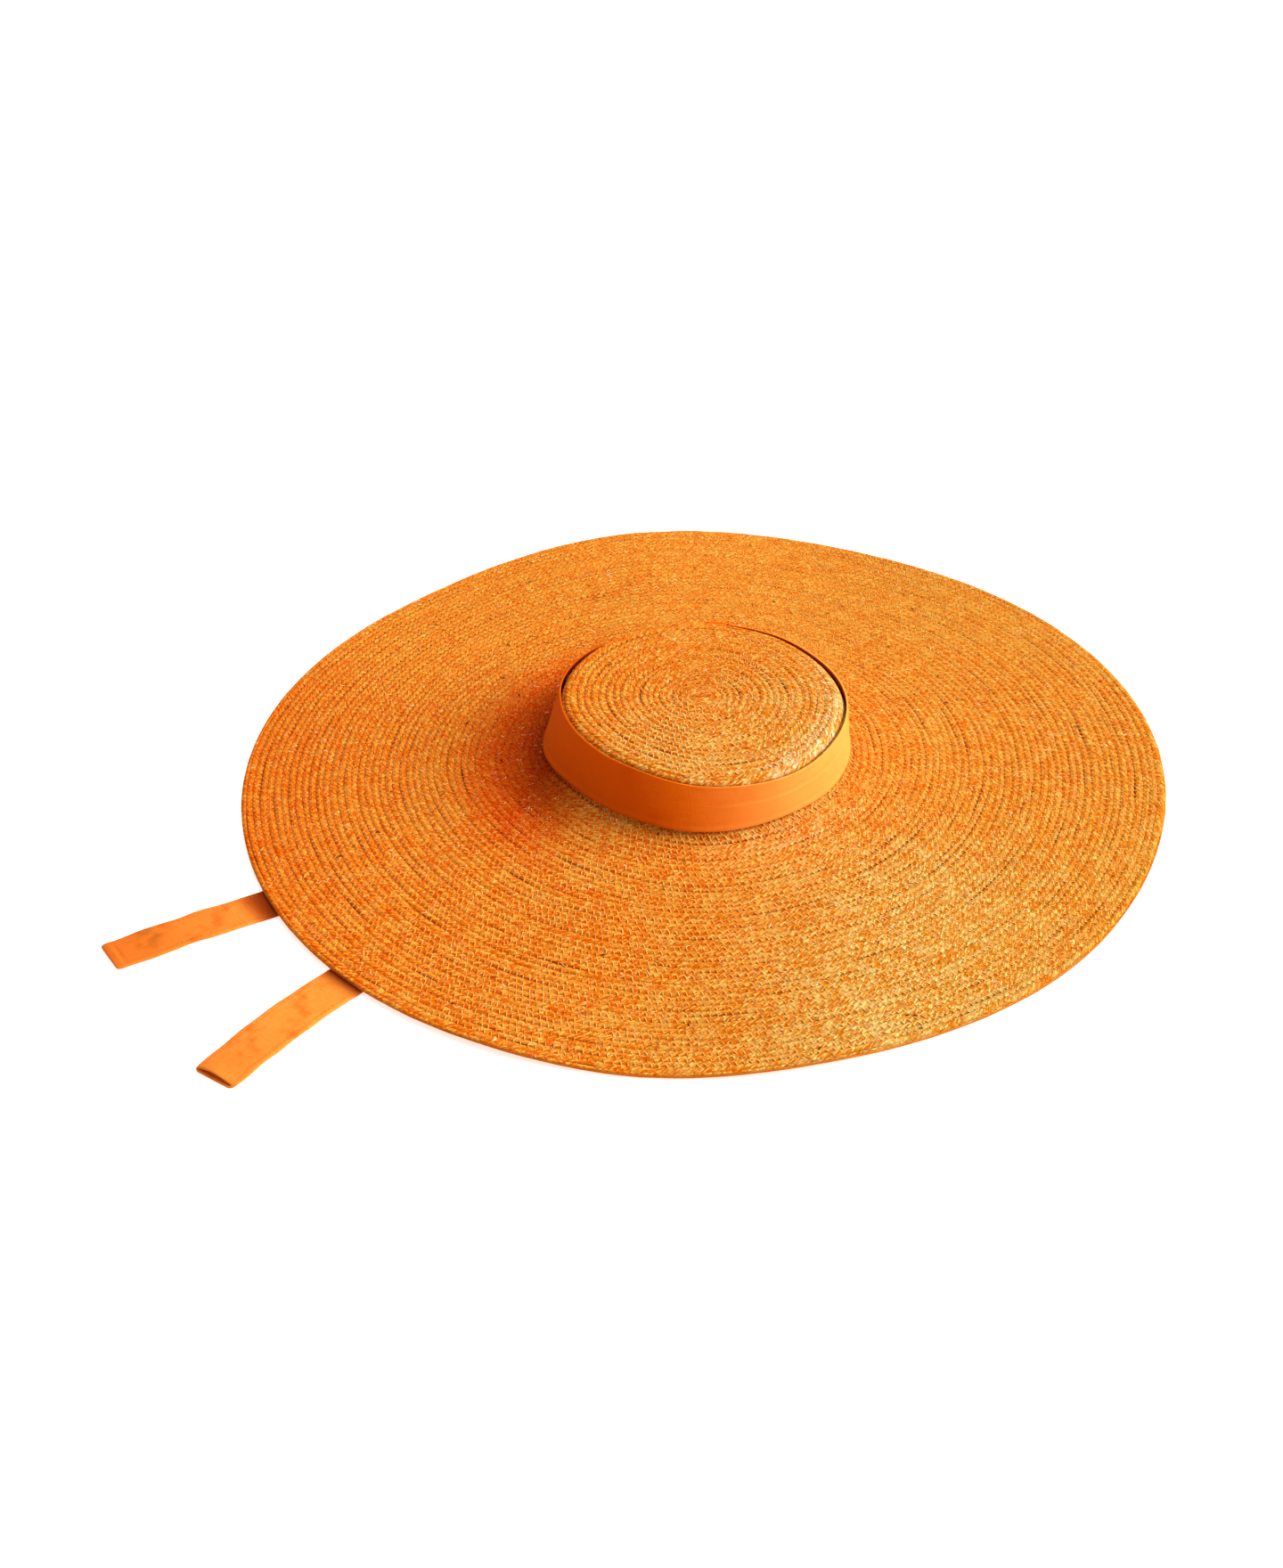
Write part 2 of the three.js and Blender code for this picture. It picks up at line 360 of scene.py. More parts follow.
@dataclass
class Spiral:
    """The one braid's route, counted in turns from the middle of the crown out to the edge.

    At a given turn the braid's middle lies half a round inside as many rounds, so that its first turn widens
    from nothing and its last runs out against the rolled edge.
    """

    form: HatForm
    start: float = math.radians(20)
    fold: float = 5  # half the length of the first fold, which the first rounds are wound about
    fold_reach: float = 60  # radius where the rounds no longer show the fold
    fold_end: float = 3  # how sharply the rounds turn about the fold's ends
    steps_per_turn: int = 240

    def __post_init__(self) -> None:
        """Measures the braid's length along its route."""
        count = int(self.turns * self.steps_per_turn) + 1
        self.turn_table = np.linspace(0, self.turns, count)
        line = self.place(self.turn_table, self.turn_table - 0.5, 0)
        self.length_table = np.append(0, np.cumsum(np.linalg.norm(np.diff(line, axis=0), axis=1)))

    @property
    def turns(self) -> float:
        """Turns from the braid's first end to its last."""
        return self.form.rounds + 1

    def azimuth(self, turns: np.ndarray) -> np.ndarray:
        """Azimuth at each turn."""
        return self.start + TAU * turns

    def length(self, turns: np.ndarray) -> np.ndarray:
        """Length of braid used up at each turn."""
        return np.interp(turns, self.turn_table, self.length_table)

    def turn_at(self, length: np.ndarray) -> np.ndarray:
        """The turn at which a length of braid is used up."""
        return np.interp(length, self.length_table, self.turn_table)

    def turn_near(self, azimuth: float, rounds: float) -> float:
        """The turn whose outer edge passes an azimuth nearest to a number of rounds."""
        share = (azimuth - self.start) / TAU
        return share + round(rounds - share)

    def place(self, turns: np.ndarray, rounds: np.ndarray, height: np.ndarray) -> np.ndarray:
        """Places points on or near the straw's outer face.

        Args:
            turns: the turn of each point, which gives its azimuth.
            rounds: braid rounds between the crown's middle and each point.
            height: distance of each point from the face, outwards.

        Returns:
            The points, with x, y and z last.
        """
        azimuth = self.azimuth(np.asarray(turns, float))
        r, z, nr, nz = self.form.face(azimuth, np.maximum(rounds, 0))
        wound = self.fold * np.clip(1 - r / self.fold_reach, 0, 1) ** 2
        shift = wound * np.clip(self.fold_end * np.cos(azimuth), -1, 1)
        out = r + nr * height
        x, y = out * np.cos(azimuth) + shift, out * np.sin(azimuth)
        return np.stack(np.broadcast_arrays(x, y, z + nz * height + self.form.settle(x, y, r)), axis=-1)


# ---- meshes ----


def swept_faces(sweeps: int, rings: int, points: int) -> tuple[np.ndarray, np.ndarray]:
    """The faces of closed sweeps that all have the same number of rings.

    Args:
        sweeps: how many separate sweeps there are.
        rings: rings along each sweep.
        points: points round each ring.

    Returns:
        The four corners of each side face, and the corners of each end face.
    """
    i, j = np.meshgrid(np.arange(rings - 1), np.arange(points), indexing="ij")
    after = (j + 1) % points
    near, far = i * points, (i + 1) * points
    side = np.stack([near + j, near + after, far + after, far + j], axis=-1)
    ends = np.stack([np.arange(points)[::-1], (rings - 1) * points + np.arange(points)])
    first = (np.arange(sweeps) * rings * points)[:, None, None]
    return (first + side.reshape(1, -1, 4)).reshape(-1, 4), (first + ends[None]).reshape(-1, points)


def swept_piece(
    name: str, rings: np.ndarray, material: bpy.types.Material, pattern: np.ndarray | None = None
) -> bpy.types.Object:
    """Makes one object from closed sweeps.

    Args:
        name: the object's name.
        rings: points in millimetres, indexed by sweep, ring, point and axis; the sweep index may be left out.
        material: the piece's finish.
        pattern: where each point lies on the flat braid or cloth, indexed as rings is.

    Returns:
        The new object.
    """
    rings = rings if rings.ndim == 4 else rings[None]
    sweeps, count, points, _ = rings.shape
    side, ends = swept_faces(sweeps, count, points)
    at = rings.reshape(-1, 3) * MM
    a, b, c, d = (at[side[:, k]] for k in range(4))
    if np.einsum("ij,ij->", a, np.cross(b, c)) + np.einsum("ij,ij->", a, np.cross(c, d)) < 0:
        side, ends = side[:, ::-1], ends[:, ::-1]
    mesh = bpy.data.meshes.new(name)
    mesh.vertices.add(len(at))
    mesh.vertices.foreach_set("co", at.astype(np.float32).ravel())
    corners = np.concatenate([side.ravel(), ends.ravel()])
    totals = np.concatenate([np.full(len(side), 4), np.full(len(ends), points)])
    mesh.loops.add(len(corners))
    mesh.loops.foreach_set("vertex_index", corners.astype(np.int32))
    mesh.polygons.add(len(totals))
    mesh.polygons.foreach_set("loop_start", (np.cumsum(totals) - totals).astype(np.int32))
    mesh.polygons.foreach_set("use_smooth", np.append(np.ones(len(side), bool), np.zeros(len(ends), bool)))
    if pattern is not None:
        layer = mesh.attributes.new("pattern", "FLOAT_VECTOR", "POINT")
        layer.data.foreach_set("vector", pattern.reshape(-1, 3).astype(np.float32).ravel())
    mesh.materials.append(material)
    mesh.update(calc_edges=True)
    mesh.validate()
    piece = bpy.data.objects.new(name, mesh)
    bpy.context.scene.collection.objects.link(piece)
    return piece


def settle_piece(piece: bpy.types.Object) -> bpy.types.Object:
    """Fixes a piece to the hat and reports it.

    Args:
        piece: the new object.

    Returns:
        The same object.
    """
    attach(piece, "root")
    low, high = Vector(piece.bound_box[0]), Vector(piece.bound_box[6])
    size = " x ".join(f"{side / MM:.1f}" for side in high - low)
    log.info("%s: %d faces, %s mm", piece.name, len(piece.data.polygons), size)
    return piece


# ---- finishes ----


def colour(code: str) -> tuple[float, float, float, float]:
    """A linear colour from a display code.

    Args:
        code: red, green and blue as six hexadecimal digits.

    Returns:
        The linear red, green and blue, and full opacity.
    """
    shares = [int(code[k : k + 2], 16) / 255 for k in (0, 2, 4)]
    linear = [s / 12.92 if s <= 0.04045 else ((s + 0.055) / 1.055) ** 2.4 for s in shares]
    return (*linear, 1.0)


@dataclass(frozen=True)
class Tint:
    """A tone, its share at full strength, and the two values between which it comes in."""

    code: str
    share: float
    none: float
    full: float


@dataclass(frozen=True)
class Fade:
    """How far a dye's red, green and blue are raised or lowered, and the values between which it grows."""

    gains: tuple[float, float, float]
    none: float
    full: float


class Blend(Enum):
    """How one colour is put over another."""

    COVER = "MIX"
    FILTER = "MULTIPLY"


class Look:
    """One material's nodes, with short calls for those that the finishes share."""

    def __init__(self, name: str) -> None:
        """Starts a material with a bare surface shader.

        Args:
            name: the material's name.
        """
        self.material = bpy.data.materials.new(name)
        self.material.use_nodes = True
        self.tree = self.material.node_tree
        self.shader = self.tree.nodes["Principled BSDF"]

    def node(self, kind: str, inputs: dict | None = None, **settings: object) -> bpy.types.Node:
        """Adds a node.

        Args:
            kind: the node's type, without its ShaderNode prefix.
            inputs: a value or an output socket for each named or numbered input.
            settings: the node's own properties.

        Returns:
            The new node.
        """
        made = self.tree.nodes.new("ShaderNode" + kind)
        for key, value in settings.items():
            setattr(made, key, value)
        for key, value in (inputs or {}).items():
            self.feed(made.inputs[key], value)
        return made

    def feed(self, socket: Socket, value: Value) -> None:
        """Links an output to a socket, or sets a plain value on it.

        Args:
            socket: the input to feed.
            value: another node's output, or a plain value.
        """
        if isinstance(value, Socket):
            self.tree.links.new(value, socket)
        else:
            socket.default_value = value

    def math(self, operation: str, a: Value, b: Value = 0.0, c: Value = 0.0) -> Socket:
        """The result of one step of arithmetic."""
        return self.node("Math", {0: a, 1: b, 2: c}, operation=operation).outputs[0]

    def product(self, first: Value, *others: Value) -> Value:
        """The product of all its factors.

        Args:
            first: the first factor.
            others: the rest.

        Returns:
            Their product, or the first factor itself where it is the only one.
        """
        total = first
        for factor in others:
            total = self.math("MULTIPLY", total, factor)
        return total

    def ease(self, value: Value, none: float, full: float) -> Socket:
        """0 as far as one value, 1 from the other on, and a smooth rise between."""
        inputs = {"Value": value, "From Min": none, "From Max": full}
        return self.node("MapRange", inputs, interpolation_type="SMOOTHSTEP").outputs[0]

    def blend(self, kind: Blend, share: Value, a: Value, b: Value) -> Socket:
        """Puts one colour over another.

        Args:
            kind: how they combine.
            share: how far the second colour counts.
            a: the first colour.
            b: the second colour.

        Returns:
            The colour that comes of it.
        """
        made = self.node("Mix", data_type="RGBA", blend_type=kind.value)
        self.feed(made.inputs["Factor"], share)
        self.feed(made.inputs[6], a)
        self.feed(made.inputs[7], b)
        return made.outputs[2]

    def mix(self, share: Value, a: Value, b: Value) -> Socket:
        """A colour between a and b."""
        return self.blend(Blend.COVER, share, a, b)

    def tint(self, base: Value, tint: Tint, value: Value, *limits: Value) -> Socket:
        """Lays a tint over a base.

        Args:
            base: the colour so far.
            tint: the tone, its share, and where it comes in.
            value: what its two values are read from.
            limits: further shares from 0 to 1, which all hold it back.

        Returns:
            The tinted colour.
        """
        share = self.product(self.ease(value, tint.none, tint.full), *limits, tint.share)
        return self.mix(share, base, colour(tint.code))

    def fade(self, base: Value, fade: Fade, value: Value, *limits: Value) -> Socket:
        """Fades or deepens a base, which keeps the contrast that it has.

        Args:
            base: the colour so far.
            fade: the change in red, green and blue, and where it comes in.
            value: what its two values are read from.
            limits: further shares from 0 to 1, which all hold it back.

        Returns:
            The changed colour.
        """
        share = self.product(self.ease(value, fade.none, fade.full), *limits)
        return self.blend(Blend.FILTER, share, base, (*fade.gains, 1.0))

    def point(self, x: Value, y: Value, z: Value = 0.0) -> Socket:
        """A vector from its parts."""
        return self.node("CombineXYZ", {"X": x, "Y": y, "Z": z}).outputs[0]

    def noise(self, at: Socket, scale: float, detail: float = 2.0, rough: float = 0.55) -> Socket:
        """Soft noise about 0.5."""
        inputs = {"Vector": at, "Scale": scale, "Detail": detail, "Roughness": rough}
        return self.node("TexNoise", inputs).outputs["Fac"]

    def pattern(self) -> tuple[Socket, ...]:
        """The three parts of the piece's pattern place, in millimetres."""
        place = self.node("Attribute", attribute_name="pattern", attribute_type="GEOMETRY").outputs["Vector"]
        return tuple(self.node("SeparateXYZ", {"Vector": place}).outputs)

    def on_hat(self) -> Socket:
        """The place on the hat, in metres."""
        return self.node("TexCoord").outputs["Object"]

    def place(self) -> bpy.types.NodeOutputs:
        """The three parts of the place on the hat, in metres."""
        return self.node("SeparateXYZ", {"Vector": self.on_hat()}).outputs

    def reach(self, x_middle: float = 0.0, y_middle: float = 0.0) -> Socket:
        """Distance in plan from a point, or else from the hat's upright axis.

        Args:
            x_middle: the point's x, in metres.
            y_middle: the point's y, in metres.

        Returns:
            The distance, in metres.
        """
        x, y, _ = self.place()
        beside, ahead = self.math("SUBTRACT", x, x_middle), self.math("SUBTRACT", y, y_middle)
        squares = self.math("MULTIPLY_ADD", beside, beside, self.math("MULTIPLY", ahead, ahead))
        return self.math("SQRT", squares)

    def toward(self, x_share: float, y_share: float) -> Socket:
        """How far a place lies in a plan direction, in metres."""
        x, y, _ = self.place()
        return self.math("MULTIPLY_ADD", y, y_share, self.math("MULTIPLY", x, x_share))

    def raise_surface(self, height: Socket, distance: float) -> None:
        """Adds fine relief, with the distance in millimetres that a height of 1 stands up."""
        bump = self.node("Bump", {"Height": height, "Distance": distance * MM})
        self.feed(self.shader.inputs["Normal"], bump.outputs["Normal"])

    def finish(self, base: Value, roughness: Value, specular: float) -> bpy.types.Material:
        """Sets the shader's own sockets.

        Args:
            base: the surface's colour.
            roughness: how dull it is, from 0 to 1.
            specular: how strongly it reflects.

        Returns:
            The finished material.
        """
        self.feed(self.shader.inputs["Base Color"], base)
        self.feed(self.shader.inputs["Roughness"], roughness)
        self.shader.inputs["Specular IOR Level"].default_value = specular
        return self.material


@dataclass(frozen=True)
class DyeAndPaintedLight:
    """Random mottling of the dye, and painted light and shade laid over it. Places are in metres, headings are
    plan directions.
    """

    # Painted highlight: the dye pales toward the key lamp's side and toward the front-right.
    lamp_side: Fade
    lit_front_paling: Fade
    lamp_heading: tuple[float, float] = (1, -0.25)
    lit_front_heading: tuple[float, float] = (0.45, -0.8)
    near_heading: tuple[float, float] = (0.5, -0.87)
    far_heading: tuple[float, float] = (1, -0.3)
    dull_heading: tuple[float, float] = (1, 0.1)

    mottle: float = 95.0
    gold_mottle: Tint = Tint("E29E3A", 0.24, 0.5, 0.68)
    rust_mottle: Tint = Tint("DA4E00", 0.2, 0.5, 0.32)
    # Painted highlight: paler on the front-right part of the brim.
    lit_corner_paling: Fade = Fade((0.98, 1.25, 2.0), -0.05, -0.13)
    corner_start: tuple[float, float] = (-0.01, 0.09)
    corner_end: tuple[float, float] = (0.25, 0.12)
    # Painted highlight: paler on the crown's tip toward the front-right.
    tip: Fade = Fade((0.98, 1.24, 2.0), -0.04, 0.04)
    tip_height: tuple[float, float] = (0.049, 0.054)
    dull_side: Tint = Tint("A8701E", 0.08, 0.05, 0.2)
    # Painted light: paler toward the back.
    back: Tint = Tint("D89A38", 0.2, 0.0, 0.2)
    # Painted shade: redder along the left, away from the lamp.
    shaded_left_edge: Tint = Tint("C44A00", 0.3, -0.2, -0.29)

    # Painted shadow of the crown over the brim on its far side, deepest next to the crown's foot.
    crown_shade: Fade = Fade((1.0, 0.48, 0.2), 0.168, 0.122)
    foot_shade: Fade = Fade((0.5, 0.34, 0.15), 0.132, 0.1)
    shade_side: tuple[float, float] = (-0.045, -0.1)
    shade_height: tuple[float, float] = (0.05, 0.03)
    # Painted shade on the crown wall behind the band.
    shade_behind_band: Tint = Tint("8C2400", 0.9, 0.035, 0.04)
    band_height: tuple[float, float] = (0.056, 0.051)
    # Painted highlight on the crown's shoulder, on the lamp side.
    shoulder: Fade = Fade((1.05, 1.34, 2.6), 0.045, 0.08)
    shoulder_reach: tuple[float, float] = (0.07, 0.087)
    shoulder_height: tuple[float, float] = (0.051, 0.056)
    # Painted highlight on the brim's turn up to the wall, on the near side.
    foot: Fade = Fade((1.04, 1.22, 1.9), 0.08, 0.104)
    foot_reach: tuple[float, float] = (0.128, 0.099)
    foot_height: tuple[float, float] = (0.036, 0.03)

    def pale_and_painted_light(self, look: Look, base: Value) -> Socket:
        """Mottles a dye and paints light on it: paler toward the lamp, the front-right and the back, and
        redder on the shaded left.

        Args:
            look: the material that it belongs to.
            base: the fresh dye's colour.

        Returns:
            The mottled colour with its painted light.
        """
        x, y, z = look.place()
        mottle = look.noise(look.on_hat(), self.mottle)
        base = look.tint(base, self.gold_mottle, mottle)
        base = look.tint(base, self.rust_mottle, mottle)
        base = look.fade(base, self.lamp_side, look.toward(*self.lamp_heading))
        base = look.fade(base, self.lit_front_paling, look.toward(*self.lit_front_heading))
        in_corner = look.ease(x, *self.corner_start), look.ease(x, *self.corner_end)
        base = look.fade(base, self.lit_corner_paling, y, *in_corner)
        base = look.fade(base, self.tip, look.toward(*self.near_heading), look.ease(z, *self.tip_height))
        base = look.tint(base, self.dull_side, look.toward(*self.dull_heading))
        base = look.tint(base, self.back, y)
        return look.tint(base, self.shaded_left_edge, x)

    def with_painted_light(self, look: Look, base: Value) -> Socket:
        """Mottles a dye and paints light and shade on it: the crown's shadow round its far foot, shade behind
        the band, and highlights on the lit shoulder and foot.

        Args:
            look: the material that it belongs to.
            base: the fresh dye's colour.

        Returns:
            The colour with its painted light and shade.
        """
        base = self.pale_and_painted_light(look, base)
        height, reach = look.place()["Z"], look.reach()
        shaded_far_side = look.ease(look.toward(*self.far_heading), *self.shade_side)
        low = look.ease(height, *self.shade_height)
        base = look.fade(base, self.crown_shade, reach, shaded_far_side, low)
        base = look.fade(base, self.foot_shade, reach, shaded_far_side, low)
        base = look.tint(base, self.shade_behind_band, height, look.ease(height, *self.band_height))
        on_shoulder = look.ease(reach, *self.shoulder_reach), look.ease(height, *self.shoulder_height)
        base = look.fade(base, self.shoulder, look.toward(*self.lamp_heading), *on_shoulder)
        at_foot = look.ease(reach, *self.foot_reach), look.ease(height, *self.foot_height)
        return look.fade(base, self.foot, look.toward(*self.near_heading), *at_foot)


# Painted highlights: each one pales its dye toward the lamp's side and toward the front-right.
STRAW_DYE_AND_LIGHT = DyeAndPaintedLight(Fade((0.84, 1.1, 1.7), -0.32, 0.2), Fade((1.04, 1.22, 1.5), 0.1, 0.24))
THREAD_DYE_AND_LIGHT = DyeAndPaintedLight(Fade((0.86, 0.95, 0.95), -0.32, 0.2), Fade((1.0, 1.04, 1.04), 0.1, 0.24))


@dataclass(frozen=True)
class StrawFinish:
    """Dyed jute, plaited: slanting strands, loose fibres, uneven dye and a few pale or dark flecks."""

    name: str
    dye_and_light: DyeAndPaintedLight = STRAW_DYE_AND_LIGHT
    light: str = "E88C2C"
    middle: str = "DC6800"
    deep: str = "D84E00"
    to_middle: tuple[float, float] = (0.38, 0.5)
    to_light: tuple[float, float] = (0.5, 0.64)
    deep_streak: Tint = Tint("D84E00", 0.7, 0.52, 0.68)
    dull_streak: Tint = Tint("A8761A", 0.4, 0.62, 0.74)
    red_stroke: Tint = Tint("CC4000", 0.85, 0.52, 0.62)
    pale_stroke: Tint = Tint("F6B240", 0.8, 0.48, 0.36)
    red_cloud: Tint = Tint("CC4000", 0.26, 0.53, 0.66)
    pale_cloud: Tint = Tint("F6B240", 0.26, 0.47, 0.34)
    # Painted shade: small shadows between strokes and along the joints, on the lamp side.
    shade_stroke: Tint = Tint("7C3C08", 0.62, 0.54, 0.66)
    shaded_joint: Tint = Tint("7C3C08", 0.5, 1.5, 2.2)
    # Painted shade: the joint's recess between rounds, the pits that the seam pulls in and the parted slits.
    groove: Tint = Tint("DC5E00", 0.4, 1.7, 2.2)
    pit: Tint = Tint("C85400", 0.75, 1.0, 0.2)
    gap: Tint = Tint("7C2E00", 0.95, 1.1, 1.9)
    pale_fleck: Tint = Tint("FFD898", 0.8, 0.7, 0.76)
    dark_fleck: Tint = Tint("5E4012", 0.8, 0.76, 0.81)
    strand: float = 3.7  # length of one strand's float along the braid
    slant: float = 1.25
    fibre: float = 0.28  # width of a visible bundle of fibres
    stroke: tuple[float, float] = (0.84, 0.54)  # the strokes' heading, along and across the braid
    stroke_draw: float = 0.22  # a stroke's width as a share of its length
    shaded_side: tuple[float, float] = (-0.12, 0.12)  # where the open side's shading comes in, in metres
    stitch: float = 4.4  # spacing of the pits that the seam pulls in
    pit_across: float = 1.6  # where a pit lies across the braid
    pit_width: float = 0.9
    pit_length: float = 0.17  # as a share of the stitch
    relief: float = 0.5

    def dyed(
        self, look: Look, along: Socket, across: Socket, leaning: Socket, fibres: Socket
    ) -> tuple[Socket, Socket]:
        """The dye as the plait took it up, strand by strand.

        Args:
            look: the material that it belongs to.
            along: length along the braid.
            across: distance from the braid's middle line.
            leaning: length along the braid, read on the strands' slant.
            fibres: the noise of single fibres.

        Returns:
            The dye's colour, and the height of the strands' crests.
        """
        half = look.math("MULTIPLY", look.math("GREATER_THAN", across, 0.0), 0.5)
        phase = look.math("ADD", look.math("DIVIDE", leaning, self.strand), half)
        crest = look.math("SINE", look.math("MULTIPLY", look.math("FRACT", phase), math.pi))
        strands = look.noise(look.point(look.math("FLOOR", phase), 0.0, half), 0.93, 0.0)
        streaks = look.noise(look.point(look.math("MULTIPLY", along, 0.05), 0.0), 0.9)
        patches = look.noise(look.on_hat(), 22.0, 3.0)
        tone = look.math("ADD", look.math("MULTIPLY", fibres, 0.55), look.math("MULTIPLY", strands, 0.25))
        tone = look.math("ADD", tone, look.math("MULTIPLY", patches, 0.2))
        base = look.mix(look.ease(tone, *self.to_middle), colour(self.deep), colour(self.middle))
        base = look.mix(look.ease(tone, *self.to_light), base, colour(self.light))
        base = look.tint(base, self.deep_streak, streaks)
        dull = look.noise(look.point(look.math("MULTIPLY", along, 0.11), 17.0), 1.0)
        return look.tint(base, self.dull_streak, dull), crest

    def stroked(self, look: Look, base: Socket, along: Socket, across: Socket) -> tuple[Socket, Socket]:
        """Lays slanting strokes of red and pale fibre over the dye, and paints shade between strokes and in
        the joints on the lamp side.

        Args:
            look: the material that it belongs to.
            base: the colour so far.
            along: length along the braid.
            across: distance from the braid's middle line.

        Returns:
            The colour, and the strokes' noise.
        """
        ahead, aside = self.stroke
        beside = look.math("MULTIPLY_ADD", along, aside, look.math("MULTIPLY", across, ahead))
        onward = look.math("MULTIPLY_ADD", along, ahead, look.math("MULTIPLY", across, -aside))
        place = look.point(beside, look.math("MULTIPLY", onward, self.stroke_draw))
        strokes = look.noise(place, 0.9, 2.0, 0.6)
        base = look.tint(base, self.red_stroke, strokes)
        base = look.tint(base, self.pale_stroke, strokes)
        clouds = look.noise(place, 0.4, 1.0, 0.5)
        base = look.tint(base, self.red_cloud, clouds)
        base = look.tint(base, self.pale_cloud, clouds)
        lamp_side = look.ease(look.toward(*self.dye_and_light.lamp_heading), *self.shaded_side)
        base = look.tint(base, self.shade_stroke, look.noise(place, 1.3, 1.0, 0.5), lamp_side)
        return look.tint(base, self.shaded_joint, look.math("ABSOLUTE", across), lamp_side), strokes

    def sewn(self, look: Look, base: Socket, along: Socket, across: Socket, parted: Socket) -> Socket:
        """Paints shade into the joint between rounds, into the pits that the seam pulls in and into the slits.

        Args:
            look: the material that it belongs to.
            base: the colour so far.
            along: length along the braid.
            across: distance from the braid's middle line.
            parted: how far the joint has parted, from 0 to 1.

        Returns:
            The colour.
        """
        base = look.tint(base, self.groove, look.math("ABSOLUTE", across))
        beat = look.math("SUBTRACT", look.math("FRACT", look.math("DIVIDE", along, self.stitch)), 0.5)
        off = look.math("DIVIDE", look.math("SUBTRACT", across, self.pit_across), self.pit_width)
        far = look.math("POWER", off, 2.0)
        near = look.math("POWER", look.math("DIVIDE", beat, self.pit_length), 2.0)
        base = look.tint(base, self.pit, look.math("ADD", far, near))
        return look.tint(base, self.gap, across, parted)

    def flecked(self, look: Look, base: Socket, along: Socket, across: Socket, leaning: Socket) -> Socket:
        """Strews bleached and dark flecks.

        Args:
            look: the material that it belongs to.
            base: the colour so far.
            along: length along the braid.
            across: distance from the braid's middle line.
            leaning: length along the braid, read on the strands' slant.

        Returns:
            The colour.
        """
        pale_place = look.point(look.math("MULTIPLY", along, 0.3), look.math("MULTIPLY", leaning, 0.9), 7.0)
        base = look.tint(base, self.pale_fleck, look.noise(pale_place, 0.8, 1.0))
        dark_place = look.point(look.math("MULTIPLY", along, 0.4), across, 40.0)
        return look.tint(base, self.dark_fleck, look.noise(dark_place, 0.5, 1.0))

    def material(self) -> bpy.types.Material:
        """Builds the finish.

        Returns:
            The material.
        """
        look = Look(self.name)
        along, across, parted = look.pattern()
        leaning = look.math("MULTIPLY_ADD", look.math("ABSOLUTE", across), self.slant, along)
        over = look.math("DIVIDE", leaning, self.fibre)
        under = look.math("MULTIPLY", look.math("SUBTRACT", across, along), 0.22)
        fibres = look.noise(look.point(over, under), 0.6, 3.0, 0.65)
        base, crest = self.dyed(look, along, across, leaning, fibres)
        base, strokes = self.stroked(look, base, along, across)
        base = self.sewn(look, base, along, across, parted)
        base = self.dye_and_light.with_painted_light(look, base)
        base = self.flecked(look, base, along, across, leaning)
        height = look.math("MULTIPLY_ADD", fibres, 0.9, look.math("MULTIPLY", crest, 0.45))
        height = look.math("MULTIPLY_ADD", strokes, -1.2, height)
        look.raise_surface(height, self.relief)
        return look.finish(base, look.math("MULTIPLY_ADD", fibres, -0.25, 0.95), 0.01)


@dataclass(frozen=True)
class RollFinish:
    """The rolled edge's jute: fine strands that slant round the roll, with a little painted shade where they
    meet.
    """

    name: str
    light: str = "E0842E"
    middle: str = "CC640A"
    # Painted shade in the grooves between strands.
    groove: Tint = Tint("A44A02", 0.7, 0.5, 0.0)
    to_light: tuple[float, float] = (0.4, 0.6)
    relief: float = 0.35

    def material(self) -> bpy.types.Material:
        """Builds the finish.

        Returns:
            The material.
        """
        look = Look(self.name)
        along, strand, _ = look.pattern()
        crest = look.math("ABSOLUTE", look.math("SINE", look.math("MULTIPLY", strand, math.pi)))
        fibre_place = look.point(look.math("MULTIPLY", strand, 5.0), look.math("MULTIPLY", along, 0.12))
        fibres = look.noise(fibre_place, 1.0, 3.0, 0.6)
        patches = look.noise(look.point(look.math("MULTIPLY", along, 0.06), 0.0), 1.0)
        tone = look.math("ADD", look.math("MULTIPLY", fibres, 0.6), look.math("MULTIPLY", patches, 0.4))
        base = look.mix(look.ease(tone, *self.to_light), colour(self.middle), colour(self.light))
        base = look.tint(base, self.groove, crest)
        look.raise_surface(look.math("MULTIPLY_ADD", crest, 0.4, fibres), self.relief)
        return look.finish(base, 0.9, 0.05)


@dataclass(frozen=True)
class ThreadFinish:
    """Plied sewing thread, a shade lighter than what it sews."""

    name: str
    light: str = "F4AA50"
    deep: str = "DE8028"
    ply: float = 0.55
    relief: float = 0.05

    def material(self) -> bpy.types.Material:
        """Builds the finish.

        Returns:
            The material.
        """
        look = Look(self.name)
        along, across, turn = look.pattern()
        twist = look.math("SINE", look.math("MULTIPLY", look.math("ADD", along, across), TAU / self.ply))
        shade = look.noise(look.point(look.math("MULTIPLY", along, 0.3), turn), 1.0)
        base = look.mix(look.ease(shade, 0.3, 0.7), colour(self.deep), colour(self.light))
        base = THREAD_DYE_AND_LIGHT.with_painted_light(look, base)
        look.raise_surface(twist, self.relief)
        return look.finish(base, look.math("MULTIPLY_ADD", shade, 0.2, 0.6), 0.12)


